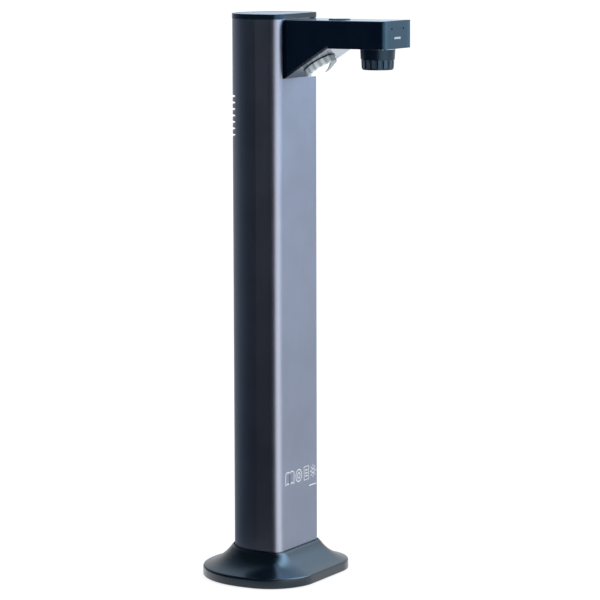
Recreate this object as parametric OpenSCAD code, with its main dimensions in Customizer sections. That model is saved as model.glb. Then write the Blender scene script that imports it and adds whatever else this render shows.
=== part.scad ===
// Desktop overhead book scanner: a weighted base, a hollow metal column and a fixed camera arm.
// Millimetres, +Z up. The origin is on the desk, on the column's axis. The camera arm points along -Y.

/* [Column] */
// Width of the column, side to side
column_width = 62.7; // [62.5:0.1:64]
// Distance from the column axis to the column's flat front
column_front = 21.8; // [21:0.1:22.4]
// Distance from the column axis to the column's rounded rear
column_rear = 26.9; // [26.4:0.1:27.4]
// Radius of the two front edges of the column
front_edge_radius = 7.2; // [6:0.1:8]
// Radius of the column's broad rear curves
rear_edge_radius = 31; // [30.4:0.1:31.2]
// Wall of the extruded column tube
column_wall = 2.2; // [1.8:0.1:2.4]
// Height of the whole scanner above the desk
total_height = 400.8; // [398:0.1:406]

/* [Base] */
// Half of the base's width
base_half_width = 56.6; // [54:0.1:60]
// Distance from the column axis to the front of the base
base_front = 44.4; // [42:0.1:48]
// Distance from the column axis to the rear of the base
base_rear = 48.8; // [47:0.1:52]
// Radius of the base's two front corners
base_front_radius = 33.4; // [28:0.1:36]
// Radius of the base's two rear corners
base_rear_radius = 55; // [48:0.5:55]
// Height at which the base meets the column
collar_height = 21.7; // [20:0.1:23]
// Height of the upright rim around the base
rim_height = 6.2; // [5.8:0.1:6.6]

/* [Arm] */
// Half of the arm's width
arm_half_width = 20.8; // [20.4:0.1:21.4]
// Distance from the column axis to the tip of the arm
arm_reach = 99; // [97:0.5:101]
// Thickness of the arm at its tip
arm_thickness = 19.3; // [18.6:0.1:19.6]
// Distance from the column axis to where the arm's underside starts to slope
knee_reach = 55.4; // [54:0.1:57]
// Height of the notch's sill in the column's front
sill_height = 356; // [354:0.5:357]
// Wall of the arm's casing
arm_wall = 1.8; // [1.6:0.1:2]

/* [Lens] */
// Distance from the column axis to the lens axis
lens_reach = 83.7; // [82:0.1:84]
// Radius of the lens collar at its top
collar_top_radius = 12.3; // [12:0.1:12.6]
// Radius of the focus ring at its top
ring_top_radius = 11.5; // [11.3:0.1:11.7]
// Radius of the lens barrel
barrel_radius = 8.82; // [8.7:0.02:8.86]
// Number of grooves around the focus ring
ring_grooves = 16; // [12:1:24]

/* [Lamp] */
// Radius of the round lamp opening in the sloped panel
lamp_radius = 12.5; // [12:0.1:12.8]
// Distance from the sill up the slope to the lamp's centre
lamp_distance = 19.3; // [18.5:0.1:20]
// Number of flutes around the lamp's lens
lamp_flutes = 14; // [10:1:18]

/* [Button] */
// Radius of the push button on the arm
button_radius = 7.5; // [7:0.1:8]
// Distance from the column axis to the button's centre
button_reach = 54; // [52:0.5:56]

/* [Vents] */
// Number of vent slots at each rear edge
vent_count = 7; // [4:1:8]
// Height of the lowest vent slot
vent_start = 315.2; // [312:0.1:318]
// Distance between vent slots
vent_pitch = 4.55; // [4.2:0.05:4.8]

/* [Hidden] */

round_fn = 96;
small_fn = 32;
cut = 0.5;          // how far a cutting shape runs past the face it cuts
seat = 0.05;        // gap between two pieces that sit against each other

// ---- levels of the base ----
mat_top = 1.2;
floor_top = 3;
ballast_bottom = floor_top + seat;
column_foot = 7;
shell_foot = 0.8;
rim_round = 1.7;            // rounding above the rim
rim_round_end = 75;         // angle at which the rounding runs into the flare
shell_wall = 2.4;
ledge_inset = 3.6;          // inner ledge of the rim, which the floor presses against
collar_grow = 1.5;          // how far the shell's neck stands out from the column
neck_gap = 0.5;             // gap between neck and column, filled by the gasket
flare_lift = 0.45;          // straight share of the flare's rise, the rest is cubic
corner_steps = 16;
flare_steps = 8;
ceiling_steps = 4;
mat_inset = 3.2;            // how far the mat's edge lies in from the rim
socket_half = 4.47;         // half width, end radius and height of the charging socket
socket_radius = 1.58;
socket_mid = 4.8;
socket_shell = 0.3;         // sheet metal of the socket
socket_back = base_rear - 8.2;
port_board_bottom = 4.2;
port_board_top = 5.2;
port_board_half = 14;
port_board_front = 28;
PORT_POSTS = [[-11, 32], [11, 32]];
FLOOR_SCREWS = [[-38, -18], [38, -18], [-38, 22], [38, 22]];
BALLAST_STEPS = [[6, ballast_bottom, 5.2], [12, 5.1, 8], [17, 7.9, 10.5]];
plug_top = 18;              // the ballast's plug inside the foot of the column
gasket_bottom = 19.5;
PORT_ROUTE = [[1.5, 222], [1.5, 14], [5, 9.6], [26, 9.6], [29, 6.6], [32, 6.35]];

// ---- fasteners: small screws in the boards, larger ones in the casings ----
small_shank = 0.85;
small_hole = 0.9;
small_clear = 1.1;
small_head = 1.8;
small_post = 2.2;
large_shank = 1.42;
large_hole = 1.5;
large_clear = 1.6;
large_head = 2.8;
large_post = 2.7;
bolt_clear = 1.7;
bolt_head = 3;
bolt_recess = 3.1;
foot_head = 3.4;            // heads of the bolts under the base
foot_recess = 3.7;

// ---- column ----
half_w = column_width / 2;
rear_centre = [half_w - rear_edge_radius, column_rear - rear_edge_radius];
cap_thickness = 3.6;
column_top = total_height - cap_thickness;
notch_half_width = half_w - front_edge_radius;
port_radius = 3.7;          // round screw ports along the inside of the tube
port_bore = 1.6;
port_top = column_top - 2.2;
port_inset = 3.35;          // from the tube's inner face to the ports' centres
rear_port_turn = 60;        // direction of the rear ports, turned from the rear towards the side
side_port = [half_w - column_wall - port_inset, -12];
rear_port = rear_centre + (rear_edge_radius - column_wall - port_inset)
                        * [sin(rear_port_turn), cos(rear_port_turn)];
PORTS = [
    [side_port[0], side_port[1]], [-side_port[0], side_port[1]],
    [rear_port[0], rear_port[1]], [-rear_port[0], rear_port[1]]
];
rail_reach = 3.95;          // how far the circuit board rails stand out from the side walls
rail_thickness = 1.5;
rail_gap = 0.1;
board_thickness = 1.6;
board_front = 3;            // front face of the main board
board_back = board_front + board_thickness;
board_gap = 0.5;            // gap between the main board's edges and the tube
main_board_bottom = 215;
main_board_top = 345;
chip_height = 1.6;
chip_back = board_back + chip_height;
connector_height = 0.9;
connector_half = 7;
cable_gate_half = 8.5;      // gate for the ribbon at the foot of the tube's rear wall
cable_gate_height = 3.8;
vent_height = 2;
vent_length = 22;
vent_turn = 28;             // direction of the vents, turned from the rear towards the side
vent_sag = 2.4;             // how much deeper a slot's ends lie than its middle
inlay_depth = 0.9;
inlay_inset = 2.2;
inlay_gap = 0.12;
inlay_drop = 0.15;          // how far the inlay lies below the cap's rim

// ---- arm ----
arm_top = column_top - 0.4;
arm_bottom = arm_top - arm_thickness;
end_plate = 2;
housing_tip = -arm_reach + end_plate;
slope_foot = [-column_front, sill_height + 0.1];
slope_head = [-knee_reach, arm_bottom];
slope_run = slope_foot[0] - slope_head[0];
slope_rise = slope_head[1] - slope_foot[1];
slope_length = sqrt(slope_run * slope_run + slope_rise * slope_rise);
slope_angle = atan2(slope_rise, slope_run);
soffit_thickness = 1.6;
soffit_drop = soffit_thickness / cos(slope_angle);
tongue_front = -column_front + 0.2;
tongue_top = arm_top - 2;
root_back = -8.2;
root_wall = 2;
arm_edge_round = 2.2;
arm_foot_round = 0.8;
inner_half = arm_half_width - arm_wall;
web_front = root_back + seat;
web_thickness = 2;
web_half = 18;
window_half = 12;           // window for the cables through root wall and web
window_bottom = 379.5;
window_top = 391;
ARM_SCREWS = [[-15.4, 364], [15.4, 364], [-15.4, 388], [15.4, 388]];
boss_length = 5.5;
flange_thickness = 2;
floor_thickness = 1.8;
arm_floor_top = arm_bottom + floor_thickness;
below_sill = 20;            // how far the cutting shapes of the arm reach below the sill
plate_upper_round = 2.4;    // rounding of the end plate's upper, lower and front edges
plate_lower_round = 1.6;
plate_edge_round = 1.6;
plate_gap = 0.15;
HEAD_ROUTE = [[-73, 385.1], [-4, 385.1], [1.7, 381], [1.7, 339]];
LAMP_ROUTE = [[-33.4, 375.8], [-15, 382.5], [-5, 382.5], [1.7, 378], [1.7, 337]];
ribbon_half = 6;
ribbon_thickness = 0.5;
lamp_cable_x = 8;
lamp_cable_width = 3;
lamp_cable_thickness = 1.2;

// ---- camera head ----
camera_board_bottom = arm_bottom + 8.7;
post_radius = 2.5;
CAMERA_POSTS = [[-15, 9.5], [15, 9.5], [-15, -9.5], [15, -9.5]];
camera_board_half = 18;
camera_board_top = camera_board_bottom + board_thickness;
mic_spread = 8.7;
mic_height = arm_top - 5.4;
mic_hole = 0.85;
mic_radius = 2.2;
mic_depth = 1.4;            // from the end plate's rear face to the microphones' board
mic_board_bottom = arm_top - 7.9;
mic_board_half = 11.5;
mic_board_thickness = 0.8;

// ---- lens ----
trim_thickness = 0.6;
collar_top = arm_bottom - trim_thickness;
collar_bottom = collar_top - 6.9;
collar_foot_radius = 11.9;
collar_bore = 10.4;
running_gap = 0.08;
ring_top = collar_bottom - 0.3;
ring_bottom = ring_top - 7;
ring_foot_radius = 11.2;
ring_chamfer = 1.2;
ring_chamfer_radius = 10.4;
groove_radius = 0.95;
barrel_bottom = ring_bottom + 1;
barrel_top = barrel_bottom + 19.4;
barrel_bore = 7.3;
barrel_lip = 1.2;
glass_radius = 7.2;
aperture_radius = 6.3;
sleeve_wall = 0.45;         // thin sleeves that run up into the arm
ring_sleeve = 4.6;
mount_flange = 1.6;
mount_flange_radius = 11.8;
mount_radius = 10.2;
front_glass_bottom = barrel_bottom + 1.25;
front_glass_top = front_glass_bottom + 1.8;
bulge_sphere = 28;          // radius of the front lens's curve
bulge = 0.7;
ELEMENTS = [[3.8, 5.3], [7.8, 9.3], [12.2, 13.2]];
SPACERS = [[1.85, 3.75], [5.35, 7.75], [9.35, 12.15]];
RETAINER = [13.25, 14.8];
retainer_bore = 5.5;

// ---- lamp: levels are measured out of the sloped panel ----
lamp_post_x = 16.3;
lamp_post = 2.3;
lamp_board_top = -7.2;
lamp_board_bottom = lamp_board_top - 1.2;
lamp_flange = lamp_radius + 1;
bezel_front = 0.5;
bezel_back = -3.4;
bezel_bore = lamp_radius - 0.9;
bezel_flange = lamp_radius + 1.4;
lens_side = lamp_radius - 1;    // radius of the fluted side of the lamp's lens
lens_back = -4.6;
flute_foot = 0.2;
flute_height = 4.6;
flute_radius = 1.6;
flute_offset = 0.9;
dome_height = 3.3;
dome_radius = lens_side - 0.8;
dome_sphere = (dome_radius * dome_radius + dome_height * dome_height) / (2 * dome_height);
led_size = 3;
led_height = 0.9;
led_count = 6;
led_circle = 6.6;

// ---- button ----
button_rise = 0.6;
button_gap = 0.3;
button_flange = 9;
button_skirt = 2.9;         // from the arm's top to the underside of the button's flange
button_overlap = 0.5;
button_stem = 2.5;
button_stem_foot = arm_top - 4.65;
button_board_bottom = arm_top - 9.4;
button_board_top = arm_top - 8.2;
button_board_half = [11, 14.5];
dome_foot = 7;              // silicone dome: radii at its foot and top, wall and height
dome_top = 5;
dome_wall = 0.8;
dome_rise = 5.2;
switch_half = 3;
switch_height = 2.2;
plunger_radius = 1.5;
plunger_height = 2.7;
BUTTON_POSTS = [[-8, 12], [8, 12], [-8, -12], [8, -12]];

// ---------------------------------------------------------------- shared outlines

// Rectangle with one radius for its front corners and another for its rear corners
module two_radius_outline(half, front, rear, front_radius, rear_radius) {
    translate([-half, -front + front_radius])
        square([2 * half, front + rear - front_radius - rear_radius]);
    translate([-half + front_radius, -front])
        square([2 * (half - front_radius), front_radius]);
    translate([-half + rear_radius, rear - rear_radius])
        square([2 * (half - rear_radius), rear_radius]);
    for (side = [-1, 1]) {
        translate([side * (half - front_radius), -front + front_radius])
            circle(r = front_radius, $fn = round_fn);
        translate([side * (half - rear_radius), rear - rear_radius])
            intersection() {
                circle(r = rear_radius, $fn = round_fn);
                translate([-rear_radius, 0]) square([2 * rear_radius, rear_radius]);
            }
    }
}

// Outline of the column, grown outwards or, with a negative value, inwards
module column_outline(grow = 0) {
    two_radius_outline(half_w + grow, column_front + grow, column_rear + grow,
                       front_edge_radius + grow, rear_edge_radius + grow);
}

// Outline of the base, drawn in from its rim
module base_outline(inset) {
    two_radius_outline(base_half_width - inset, base_front - inset, base_rear - inset,
                       base_front_radius - inset, base_rear_radius - inset);
}

// A slab of a flat outline between two heights
module slab(low, high) {
    translate([0, 0, low])
        linear_extrude(high - low) children();
}

// An upright rod between two heights
module rod(radius, low, high, fn = small_fn) {
    translate([0, 0, low])
        cylinder(r = radius, h = high - low, $fn = fn);
}

// An upright tube between two heights
module tube(outer, inner, low, high, fn = round_fn) {
    difference() {
        rod(outer, low, high, fn);
        rod(inner, low - cut, high + cut, fn);
    }
}

// A box centred on X, given by its half width and its Y and Z spans
module wide_box(half, y_low, y_high, z_low, z_high) {
    translate([-half, y_low, z_low])
        cube([2 * half, y_high - y_low, z_high - z_low]);
}

// A side profile in Y and Z, drawn out across X
module across(half) {
    translate([-half, 0, 0])
        rotate([90, 0, 90])
            linear_extrude(2 * half) children();
}

// A flat strip that follows a route in Y and Z
module strip(route, x_low, width, thickness) {
    translate([x_low, 0, 0])
        rotate([90, 0, 90])
            linear_extrude(width)
                union() {
                    for (i = [0:len(route) - 2]) {
                        run = route[i + 1] - route[i];
                        side = [-run[1], run[0]] / norm(run) * thickness / 2;
                        polygon([route[i] + side, route[i] - side,
                                 route[i + 1] - side, route[i + 1] + side]);
                    }
                    for (i = [1:len(route) - 2])
                        translate(route[i]) circle(d = thickness, $fn = small_fn);
                }
}

// ---------------------------------------------------------------- base

function arc_points(centre, radius, start) = [
    for (i = [0:corner_steps - 1])
        let (a = start + 90 * i / (corner_steps - 1))
        centre + radius * [cos(a), sin(a)]
];

// Points around an outline: size is [half width, front, rear, front radius, rear radius]
function ring_points(size, z) =
    let (h = size[0], f = size[1], r = size[2], fr = size[3], rr = size[4])
    [for (p = concat(arc_points([h - rr, r - rr], rr, 0),
                     arc_points([rr - h, r - rr], rr, 90),
                     arc_points([fr - h, fr - f], fr, 180),
                     arc_points([h - fr, fr - f], fr, 270)))
        [p[0], p[1], z]];

// Outline between the rim (share 0) and the neck (share 1), drawn in by inset
function flare_size(share, inset) =
    let (rim = [base_half_width, base_front, base_rear, base_front_radius, base_rear_radius],
         neck = [half_w, column_front, column_rear, front_edge_radius, rear_edge_radius]
                + collar_grow * [1, 1, 1, 1, 1])
    rim * (1 - share) + neck * share - inset * [1, 1, 1, 1, 1];

flare_foot = rim_height + rim_round * sin(rim_round_end);
flare_inset = rim_round * (1 - cos(rim_round_end));

// Height of the flare's outer skin
function flare_height(share) =
    flare_foot + (collar_height - flare_foot)
    * (flare_lift * share + (1 - flare_lift) * pow(share, 3));

// The shell's skin as closed rings: up the outside, over the neck and back under the ceiling
SHELL_RINGS = concat(
    [ring_points(flare_size(0, 0), shell_foot), ring_points(flare_size(0, 0), rim_height)],
    [for (a = [rim_round_end / 3, 2 * rim_round_end / 3])
        ring_points(flare_size(0, rim_round * (1 - cos(a))), rim_height + rim_round * sin(a))],
    [for (i = [0:flare_steps])
        let (s = i / flare_steps)
        ring_points(flare_size(s, flare_inset * (1 - s)), flare_height(s))],
    [ring_points(flare_size(1, collar_grow - neck_gap), collar_height)],
    [for (i = [ceiling_steps:-1:0])
        let (s = i / ceiling_steps)
        ring_points(flare_size(s, ledge_inset * (1 - s) + (collar_grow - neck_gap) * s),
                    flare_height(s) - shell_wall)],
    [ring_points(flare_size(0, ledge_inset), floor_top + seat)],
    [ring_points(flare_size(0, shell_wall), floor_top + seat)],
    [ring_points(flare_size(0, shell_wall), shell_foot)]
);

// A closed band of rings, the last one joined to the first
module ring_band(rings) {
    n = len(rings[0]);
    m = len(rings);
    polyhedron(
        points = [for (ring = rings) each ring],
        faces = [
            for (j = [0:m - 1], i = [0:n - 1])
                let (k = (i + 1) % n, up = (j + 1) % m)
                each [[j * n + i, up * n + i, up * n + k], [j * n + i, up * n + k, j * n + k]]
        ]
    );
}

// Oval mouth of the socket: a flat slot with round ends, along Y
module socket_oval(half, radius, y_low, y_high, z_mid) {
    translate([0, y_high, z_mid])
        rotate([90, 0, 0])
            linear_extrude(y_high - y_low) {
                square([2 * (half - radius), 2 * radius], center = true);
                for (side = [-1, 1])
                    translate([side * (half - radius), 0]) circle(r = radius, $fn = small_fn);
            }
}

module rubber_mat() color("#1b1c1e") {
    slab(0, mat_top) base_outline(mat_inset);
}

module base_floor() color("#23262b") {
    sink = 2.3;
    difference() {
        slab(mat_top + seat, floor_top) base_outline(shell_wall + rail_gap);
        for (p = PORTS) translate(p) rod(foot_recess, 0, floor_top + cut);
        for (p = FLOOR_SCREWS) {
            translate(p) rod(large_clear, 0, floor_top + cut);
            translate(p) rod(bolt_head, 0, sink);
        }
    }
    for (p = PORT_POSTS)
        translate(p) tube(small_post, small_hole, floor_top - cut, port_board_bottom, small_fn);
}

module floor_screws() color("#8d9096") {
    head_bottom = mat_top + 0.1;
    head_top = 2.25;
    tip = 5;
    for (p = FLOOR_SCREWS)
        translate(p) {
            rod(large_head, head_bottom, head_top);
            rod(large_shank, head_top - seat, tip);
        }
}

module column_bolts() color("#8d9096") {
    tip = 22;
    hex_radius = 1.5;
    hex_depth = 1.1;
    for (p = PORTS)
        translate(p) difference() {
            union() {
                rod(foot_head, mat_top + 0.1, floor_top);
                rod(large_hole, floor_top - 0.1, tip);
            }
            translate([0, 0, mat_top]) cylinder(r = hex_radius, h = hex_depth, $fn = 6);
        }
}

// The weight fills the base and plugs the foot of the column
module ballast_weight() color("#4a4d52") {
    above = plug_top + 2;
    around = 0.4;
    bolt_bore = 1.9;
    tunnel = column_foot + 0.6;
    difference() {
        union() {
            difference() {
                for (s = BALLAST_STEPS) slab(s[1], s[2]) base_outline(s[0]);
                slab(column_foot, above) column_outline(around);
            }
            slab(column_foot - 0.1, plug_top) column_outline(-column_wall - around);
        }
        for (p = PORTS) {
            translate(p) rod(port_radius + around, column_foot, above);
            translate(p) rod(bolt_bore, 0, above);
        }
        for (side = [-1, 1]) rail_slot(side);
        for (p = FLOOR_SCREWS) translate(p) rod(large_hole, 0, column_foot + 1);
        wide_box(cable_gate_half, -4, column_rear + 3, tunnel, above);
        wide_box(port_board_half + 3, port_board_front - 1, base_rear, 0, above);
    }
}

// Clearance in the ballast's plug for one of the tube's two pairs of board rails
module rail_slot(side) {
    reach = column_wall + rail_reach + 0.6;
    deep = rail_thickness + 1.2;
    translate([side > 0 ? half_w - reach : -half_w, board_front - deep, column_foot])
        cube([reach, board_thickness + 2 * deep, plug_top]);
}

module base_shell() color("#1d2733") {
    around = 0.25;
    difference() {
        ring_band(SHELL_RINGS);
        socket_oval(socket_half + around, socket_radius + around, socket_back - 1,
                    base_rear + cut, socket_mid);
    }
}

module collar_gasket() color("#0e0f11") {
    difference() {
        slab(gasket_bottom, collar_height - 0.5) column_outline(neck_gap - seat);
        slab(gasket_bottom - cut, collar_height) column_outline(seat);
    }
}

module port_board() color("#1d5a38") {
    rear = base_rear - 6;
    connector = [30, 34];
    difference() {
        wide_box(port_board_half, port_board_front, rear, port_board_bottom + seat, port_board_top);
        wide_box(socket_half + socket_shell, socket_back - socket_shell, base_rear, 0, column_foot);
        for (p = PORT_POSTS) translate(p) rod(small_clear, 0, column_foot);
    }
    wide_box(connector_half, connector[0], connector[1], port_board_top - 0.1,
             port_board_top + 0.8);
}

module port_screws() color("#8d9096") {
    for (p = PORT_POSTS)
        translate(p) {
            rod(small_head, port_board_top + seat, port_board_top + 1);
            rod(small_shank, floor_top + 0.2, port_board_top + 0.2);
        }
}

module usb_socket() color("#b9bcc2") {
    tongue = [3.1, 0.35];
    difference() {
        socket_oval(socket_half, socket_radius, socket_back, base_rear - cut, socket_mid);
        socket_oval(socket_half - socket_shell, socket_radius - socket_shell, socket_back + 1,
                    base_rear, socket_mid);
    }
    wide_box(tongue[0], socket_back + 0.5, base_rear - 1.6, socket_mid - tongue[1],
             socket_mid + tongue[1]);
}

// Flat ribbon from the main board down the column and out under its rear wall
module port_ribbon() color("#c9c4b4") {
    strip(PORT_ROUTE, -ribbon_half, 2 * ribbon_half, ribbon_thickness);
}

// ---------------------------------------------------------------- column

module column_section() {
    difference() {
        column_outline();
        column_outline(-column_wall);
    }
}

// Round screw ports along the inside of the tube
module screw_ports() {
    for (p = PORTS)
        translate(p)
            difference() {
                circle(r = port_radius, $fn = small_fn);
                circle(r = port_bore, $fn = small_fn);
            }
}

// Two pairs of rails that hold the main board by its edges
module board_rails() {
    intersection() {
        column_outline(-column_wall / 2);
        for (y = [board_front - rail_gap - rail_thickness, board_back + rail_gap], side = [0, 1])
            mirror([side, 0])
                translate([half_w - column_wall - rail_reach, y])
                    square([column_wall + rail_reach, rail_thickness]);
    }
}

// One slot cutter through the rounded rear of the column; side is -1 or 1
module vent_cutter(side) {
    translate([side * rear_centre[0], rear_centre[1], 0])
        rotate([0, 0, -side * vent_turn])
            translate([-vent_length / 2, rear_edge_radius - column_wall - vent_sag, 0])
                cube([vent_length, column_wall + vent_sag + 1, vent_height]);
}

module column_tube() color("#4a4956") {
    difference() {
        union() {
            slab(column_foot, column_top) column_section();
            slab(column_foot, port_top) {
                screw_ports();
                board_rails();
            }
        }
        wide_box(notch_half_width, -column_front - cut, -column_front + column_wall + 1,
                 sill_height, column_top + cut);
        wide_box(cable_gate_half, column_rear - column_wall - 2, column_rear + cut,
                 column_foot - cut, column_foot + cable_gate_height);
        for (i = [0:vent_count - 1], side = [-1, 1])
            translate([0, 0, vent_start + i * vent_pitch - vent_height / 2]) vent_cutter(side);
    }
}

// Distance from the middle to the tube's inner face at one depth
function inner_reach(y) =
    rear_centre[0] + sqrt(pow(rear_edge_radius - column_wall, 2) - pow(y - rear_centre[1], 2));

module main_board() color("#1d5a38") {
    wide_box(inner_reach(board_back) - board_gap, board_front, board_back, main_board_bottom,
             main_board_top);
}

// Processor, memory and power chips behind the board, and the ribbon connectors in front of it
module board_chips() color("#16171a") {
    processor = [7.5, 320, 335];
    memory = [9, 1.1, 12];
    power = [6, 1, 6];
    wide_box(processor[0], board_back, chip_back, processor[1], processor[2]);
    for (x = [-14, 5])
        translate([x, board_back, 296]) cube(memory);
    for (i = [0:3])
        translate([-17 + 9 * i, board_back, 270]) cube(power);
    for (z = [main_board_bottom + 2, main_board_top - connector_half])
        wide_box(connector_half, board_front - connector_height, board_front, z, z + 5);
}

module heat_sink() color("#a9adb3") {
    half = 15;
    plate = 1.6;
    span = [313, 343];
    fin = [1.2, 3.6];
    fins = 9;
    pitch = (2 * half - fin[0]) / (fins - 1);
    wide_box(half, chip_back, chip_back + plate, span[0], span[1]);
    for (i = [0:fins - 1])
        translate([-half + pitch * i, chip_back + plate - 0.1, span[0]])
            cube([fin[0], fin[1], span[1] - span[0]]);
}

// ---------------------------------------------------------------- arm mounting and cap

module arm_bracket() color("#9a9da3") {
    web_back = web_front + web_thickness;
    difference() {
        union() {
            slab(port_top, port_top + flange_thickness) column_outline(-column_wall - 0.3);
            wide_box(web_half, web_front, web_back, sill_height + 1, port_top + 0.1);
        }
        for (p = PORTS) translate(p) rod(bolt_clear, port_top - cut, column_top);
        wide_box(window_half, web_front - cut, web_back + cut, window_bottom, window_top);
        for (p = ARM_SCREWS)
            translate([p[0], web_front - cut, p[1]])
                rotate([-90, 0, 0]) rod(large_clear, 0, web_thickness + 1);
    }
}

module top_cap() color("#121318") {
    floor_level = total_height - inlay_depth;
    overhang = 0.3;
    recess = 1.2;
    difference() {
        slab(column_top, total_height) column_outline(overhang);
        slab(floor_level, total_height + cut) column_outline(-inlay_inset);
        for (p = PORTS) {
            translate(p) rod(bolt_clear, column_top - cut, total_height);
            translate(p) rod(bolt_recess, floor_level - recess, total_height);
        }
    }
}

module cap_screws() color("#8d9096") {
    head_bottom = total_height - inlay_depth - 1.15;
    head_height = 1.1;
    length = 11;
    for (p = PORTS)
        translate(p) {
            rod(bolt_head, head_bottom, head_bottom + head_height);
            rod(large_hole, column_top - length, head_bottom + 0.1);
        }
}

module top_inlay() color("#86808f") {
    slab(total_height - inlay_depth + seat, total_height - inlay_drop)
        column_outline(-inlay_inset - inlay_gap);
}

// ---------------------------------------------------------------- arm casing

// Front view of the arm: soft upper edges and sharper lower ones, in X and Z
module arm_section(half, low, high, upper, lower) {
    translate([-half, low + lower]) square([2 * half, high - low - upper - lower]);
    translate([-half + upper, high - upper]) square([2 * (half - upper), upper]);
    translate([-half + lower, low]) square([2 * (half - lower), lower]);
    for (side = [-1, 1]) {
        translate([side * (half - upper), high - upper]) circle(r = upper, $fn = small_fn);
        translate([side * (half - lower), low + lower]) circle(r = lower, $fn = small_fn);
    }
}

// A front view drawn back along Y from y_low to y_high
module along(y_low, y_high) {
    translate([0, y_high, 0])
        rotate([90, 0, 0])
            linear_extrude(y_high - y_low) children();
}

module arm_housing() color("#0a0c11") {
    inside = sill_height - 5;
    lift = soffit_drop + seat;
    button_bore = button_radius + button_gap;
    difference() {
        intersection() {
            across(arm_half_width) polygon([
                [housing_tip, arm_bottom], [housing_tip, arm_top], [tongue_front, arm_top],
                [tongue_front, tongue_top], [root_back, tongue_top],
                [root_back, slope_foot[1] + lift],
                [slope_foot[0], slope_foot[1] + lift],
                [slope_head[0], slope_head[1] + lift],
                [slope_head[0] - seat, slope_head[1]]
            ]);
            along(housing_tip - 1, root_back + 1)
                arm_section(arm_half_width, sill_height - below_sill, arm_top, arm_edge_round,
                            arm_foot_round);
        }
        wide_box(inner_half, housing_tip - cut, tongue_front - arm_wall, inside,
                 arm_top - arm_wall);
        wide_box(inner_half, tongue_front - arm_wall - 1, root_back - root_wall, inside,
                 tongue_top - arm_wall);
        wide_box(window_half, root_back - root_wall - cut, root_back + cut, window_bottom,
                 window_top);
        translate([0, -button_reach, 0])
            rod(button_bore, button_board_top, arm_top + cut, round_fn);
        for (p = ARM_SCREWS)
            translate([p[0], root_back - root_wall - cut, p[1]])
                rotate([-90, 0, 0]) rod(large_hole, 0, root_wall + 1);
    }
    for (p = ARM_SCREWS)
        translate([p[0], root_back - root_wall + 0.1, p[1]])
            rotate([90, 0, 0]) tube(large_post, large_hole, 0, boss_length, small_fn);
    for (p = BUTTON_POSTS)
        translate([p[0], -button_reach + p[1], 0])
            tube(small_post, small_hole, button_board_top + seat, arm_top - arm_wall + 0.1,
                 small_fn);
}

module arm_screws() color("#8d9096") {
    head_height = 2;
    length = 8.6;
    for (p = ARM_SCREWS)
        translate([p[0], web_front + web_thickness, p[1]]) {
            rotate([-90, 0, 0]) rod(large_head, seat, head_height);
            rotate([90, 0, 0]) rod(large_shank, -0.1, length);
        }
}

module arm_floor() color("#0a0c11") {
    difference() {
        union() {
            wide_box(inner_half - 0.1, housing_tip + seat, -knee_reach - seat, arm_bottom,
                     arm_floor_top);
            for (p = CAMERA_POSTS)
                translate([p[0], -lens_reach + p[1], 0])
                    rod(post_radius, arm_floor_top - 0.1, camera_board_bottom);
        }
        for (p = CAMERA_POSTS)
            translate([p[0], -lens_reach + p[1], 0])
                rod(large_hole, arm_floor_top + 1, camera_board_bottom + cut);
        translate([0, -lens_reach, 0])
            rod(collar_bore + cut, arm_bottom - cut, arm_floor_top + cut, round_fn);
    }
}

// Carries a shape onto the sloped panel: +Z points out of the panel and +Y up the slope
module on_soffit() {
    translate([0, slope_foot[0] - lamp_distance * cos(slope_angle),
               slope_foot[1] + lamp_distance * sin(slope_angle)])
        rotate([180 - slope_angle, 0, 0])
            children();
}

module arm_soffit() color("#b4b8c0") {
    difference() {
        across(arm_half_width) polygon([
            slope_foot + [-seat, 0], slope_head + [seat, 0],
            slope_head + [seat, soffit_drop], slope_foot + [-seat, soffit_drop]
        ]);
        on_soffit() rod(lamp_radius, -soffit_thickness - cut, cut, round_fn);
    }
    on_soffit()
        for (side = [-1, 1])
            translate([side * lamp_post_x, 0, 0])
                tube(lamp_post, small_hole, lamp_board_top + seat, -soffit_thickness + 0.1,
                     small_fn);
}

module arm_end_plate() color("#46566a") {
    difference() {
        intersection() {
            along(-arm_reach, housing_tip - plate_gap)
                arm_section(arm_half_width, arm_bottom, arm_top, plate_upper_round,
                            plate_lower_round);
            slab(arm_bottom - cut, arm_top + cut) {
                translate([-arm_half_width, -arm_reach + plate_edge_round])
                    square([2 * arm_half_width, end_plate]);
                translate([-arm_half_width + plate_edge_round, -arm_reach])
                    square([2 * (arm_half_width - plate_edge_round), end_plate]);
                for (side = [-1, 1])
                    translate([side * (arm_half_width - plate_edge_round),
                               -arm_reach + plate_edge_round])
                        circle(r = plate_edge_round, $fn = small_fn);
            }
        }
        for (side = [-1, 1])
            translate([side * mic_spread, -arm_reach - cut, mic_height])
                rotate([-90, 0, 0]) rod(mic_hole, 0, end_plate + 1);
    }
}

module mic_board() color("#1d5a38") {
    front = housing_tip + mic_depth - 0.1;
    wide_box(mic_board_half, front, front + mic_board_thickness, mic_board_bottom,
             arm_top - arm_wall - 0.2);
}

module mic_capsules() color("#b9bcc2") {
    for (side = [-1, 1])
        translate([side * mic_spread, housing_tip - 0.1, mic_height])
            rotate([-90, 0, 0]) rod(mic_radius, 0, mic_depth - seat);
}

// ---------------------------------------------------------------- camera

module camera_board() color("#1d5a38") {
    depth = [-12, 14];
    connector = [9.6, 13.6];
    difference() {
        wide_box(camera_board_half, -lens_reach + depth[0], -lens_reach + depth[1],
                 camera_board_bottom + seat, camera_board_top);
        for (p = CAMERA_POSTS)
            translate([p[0], -lens_reach + p[1], 0]) rod(large_clear, arm_bottom, arm_top);
    }
    wide_box(connector_half, -lens_reach + connector[0], -lens_reach + connector[1],
             camera_board_bottom - 0.8, camera_board_bottom + 0.1);
}

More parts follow.
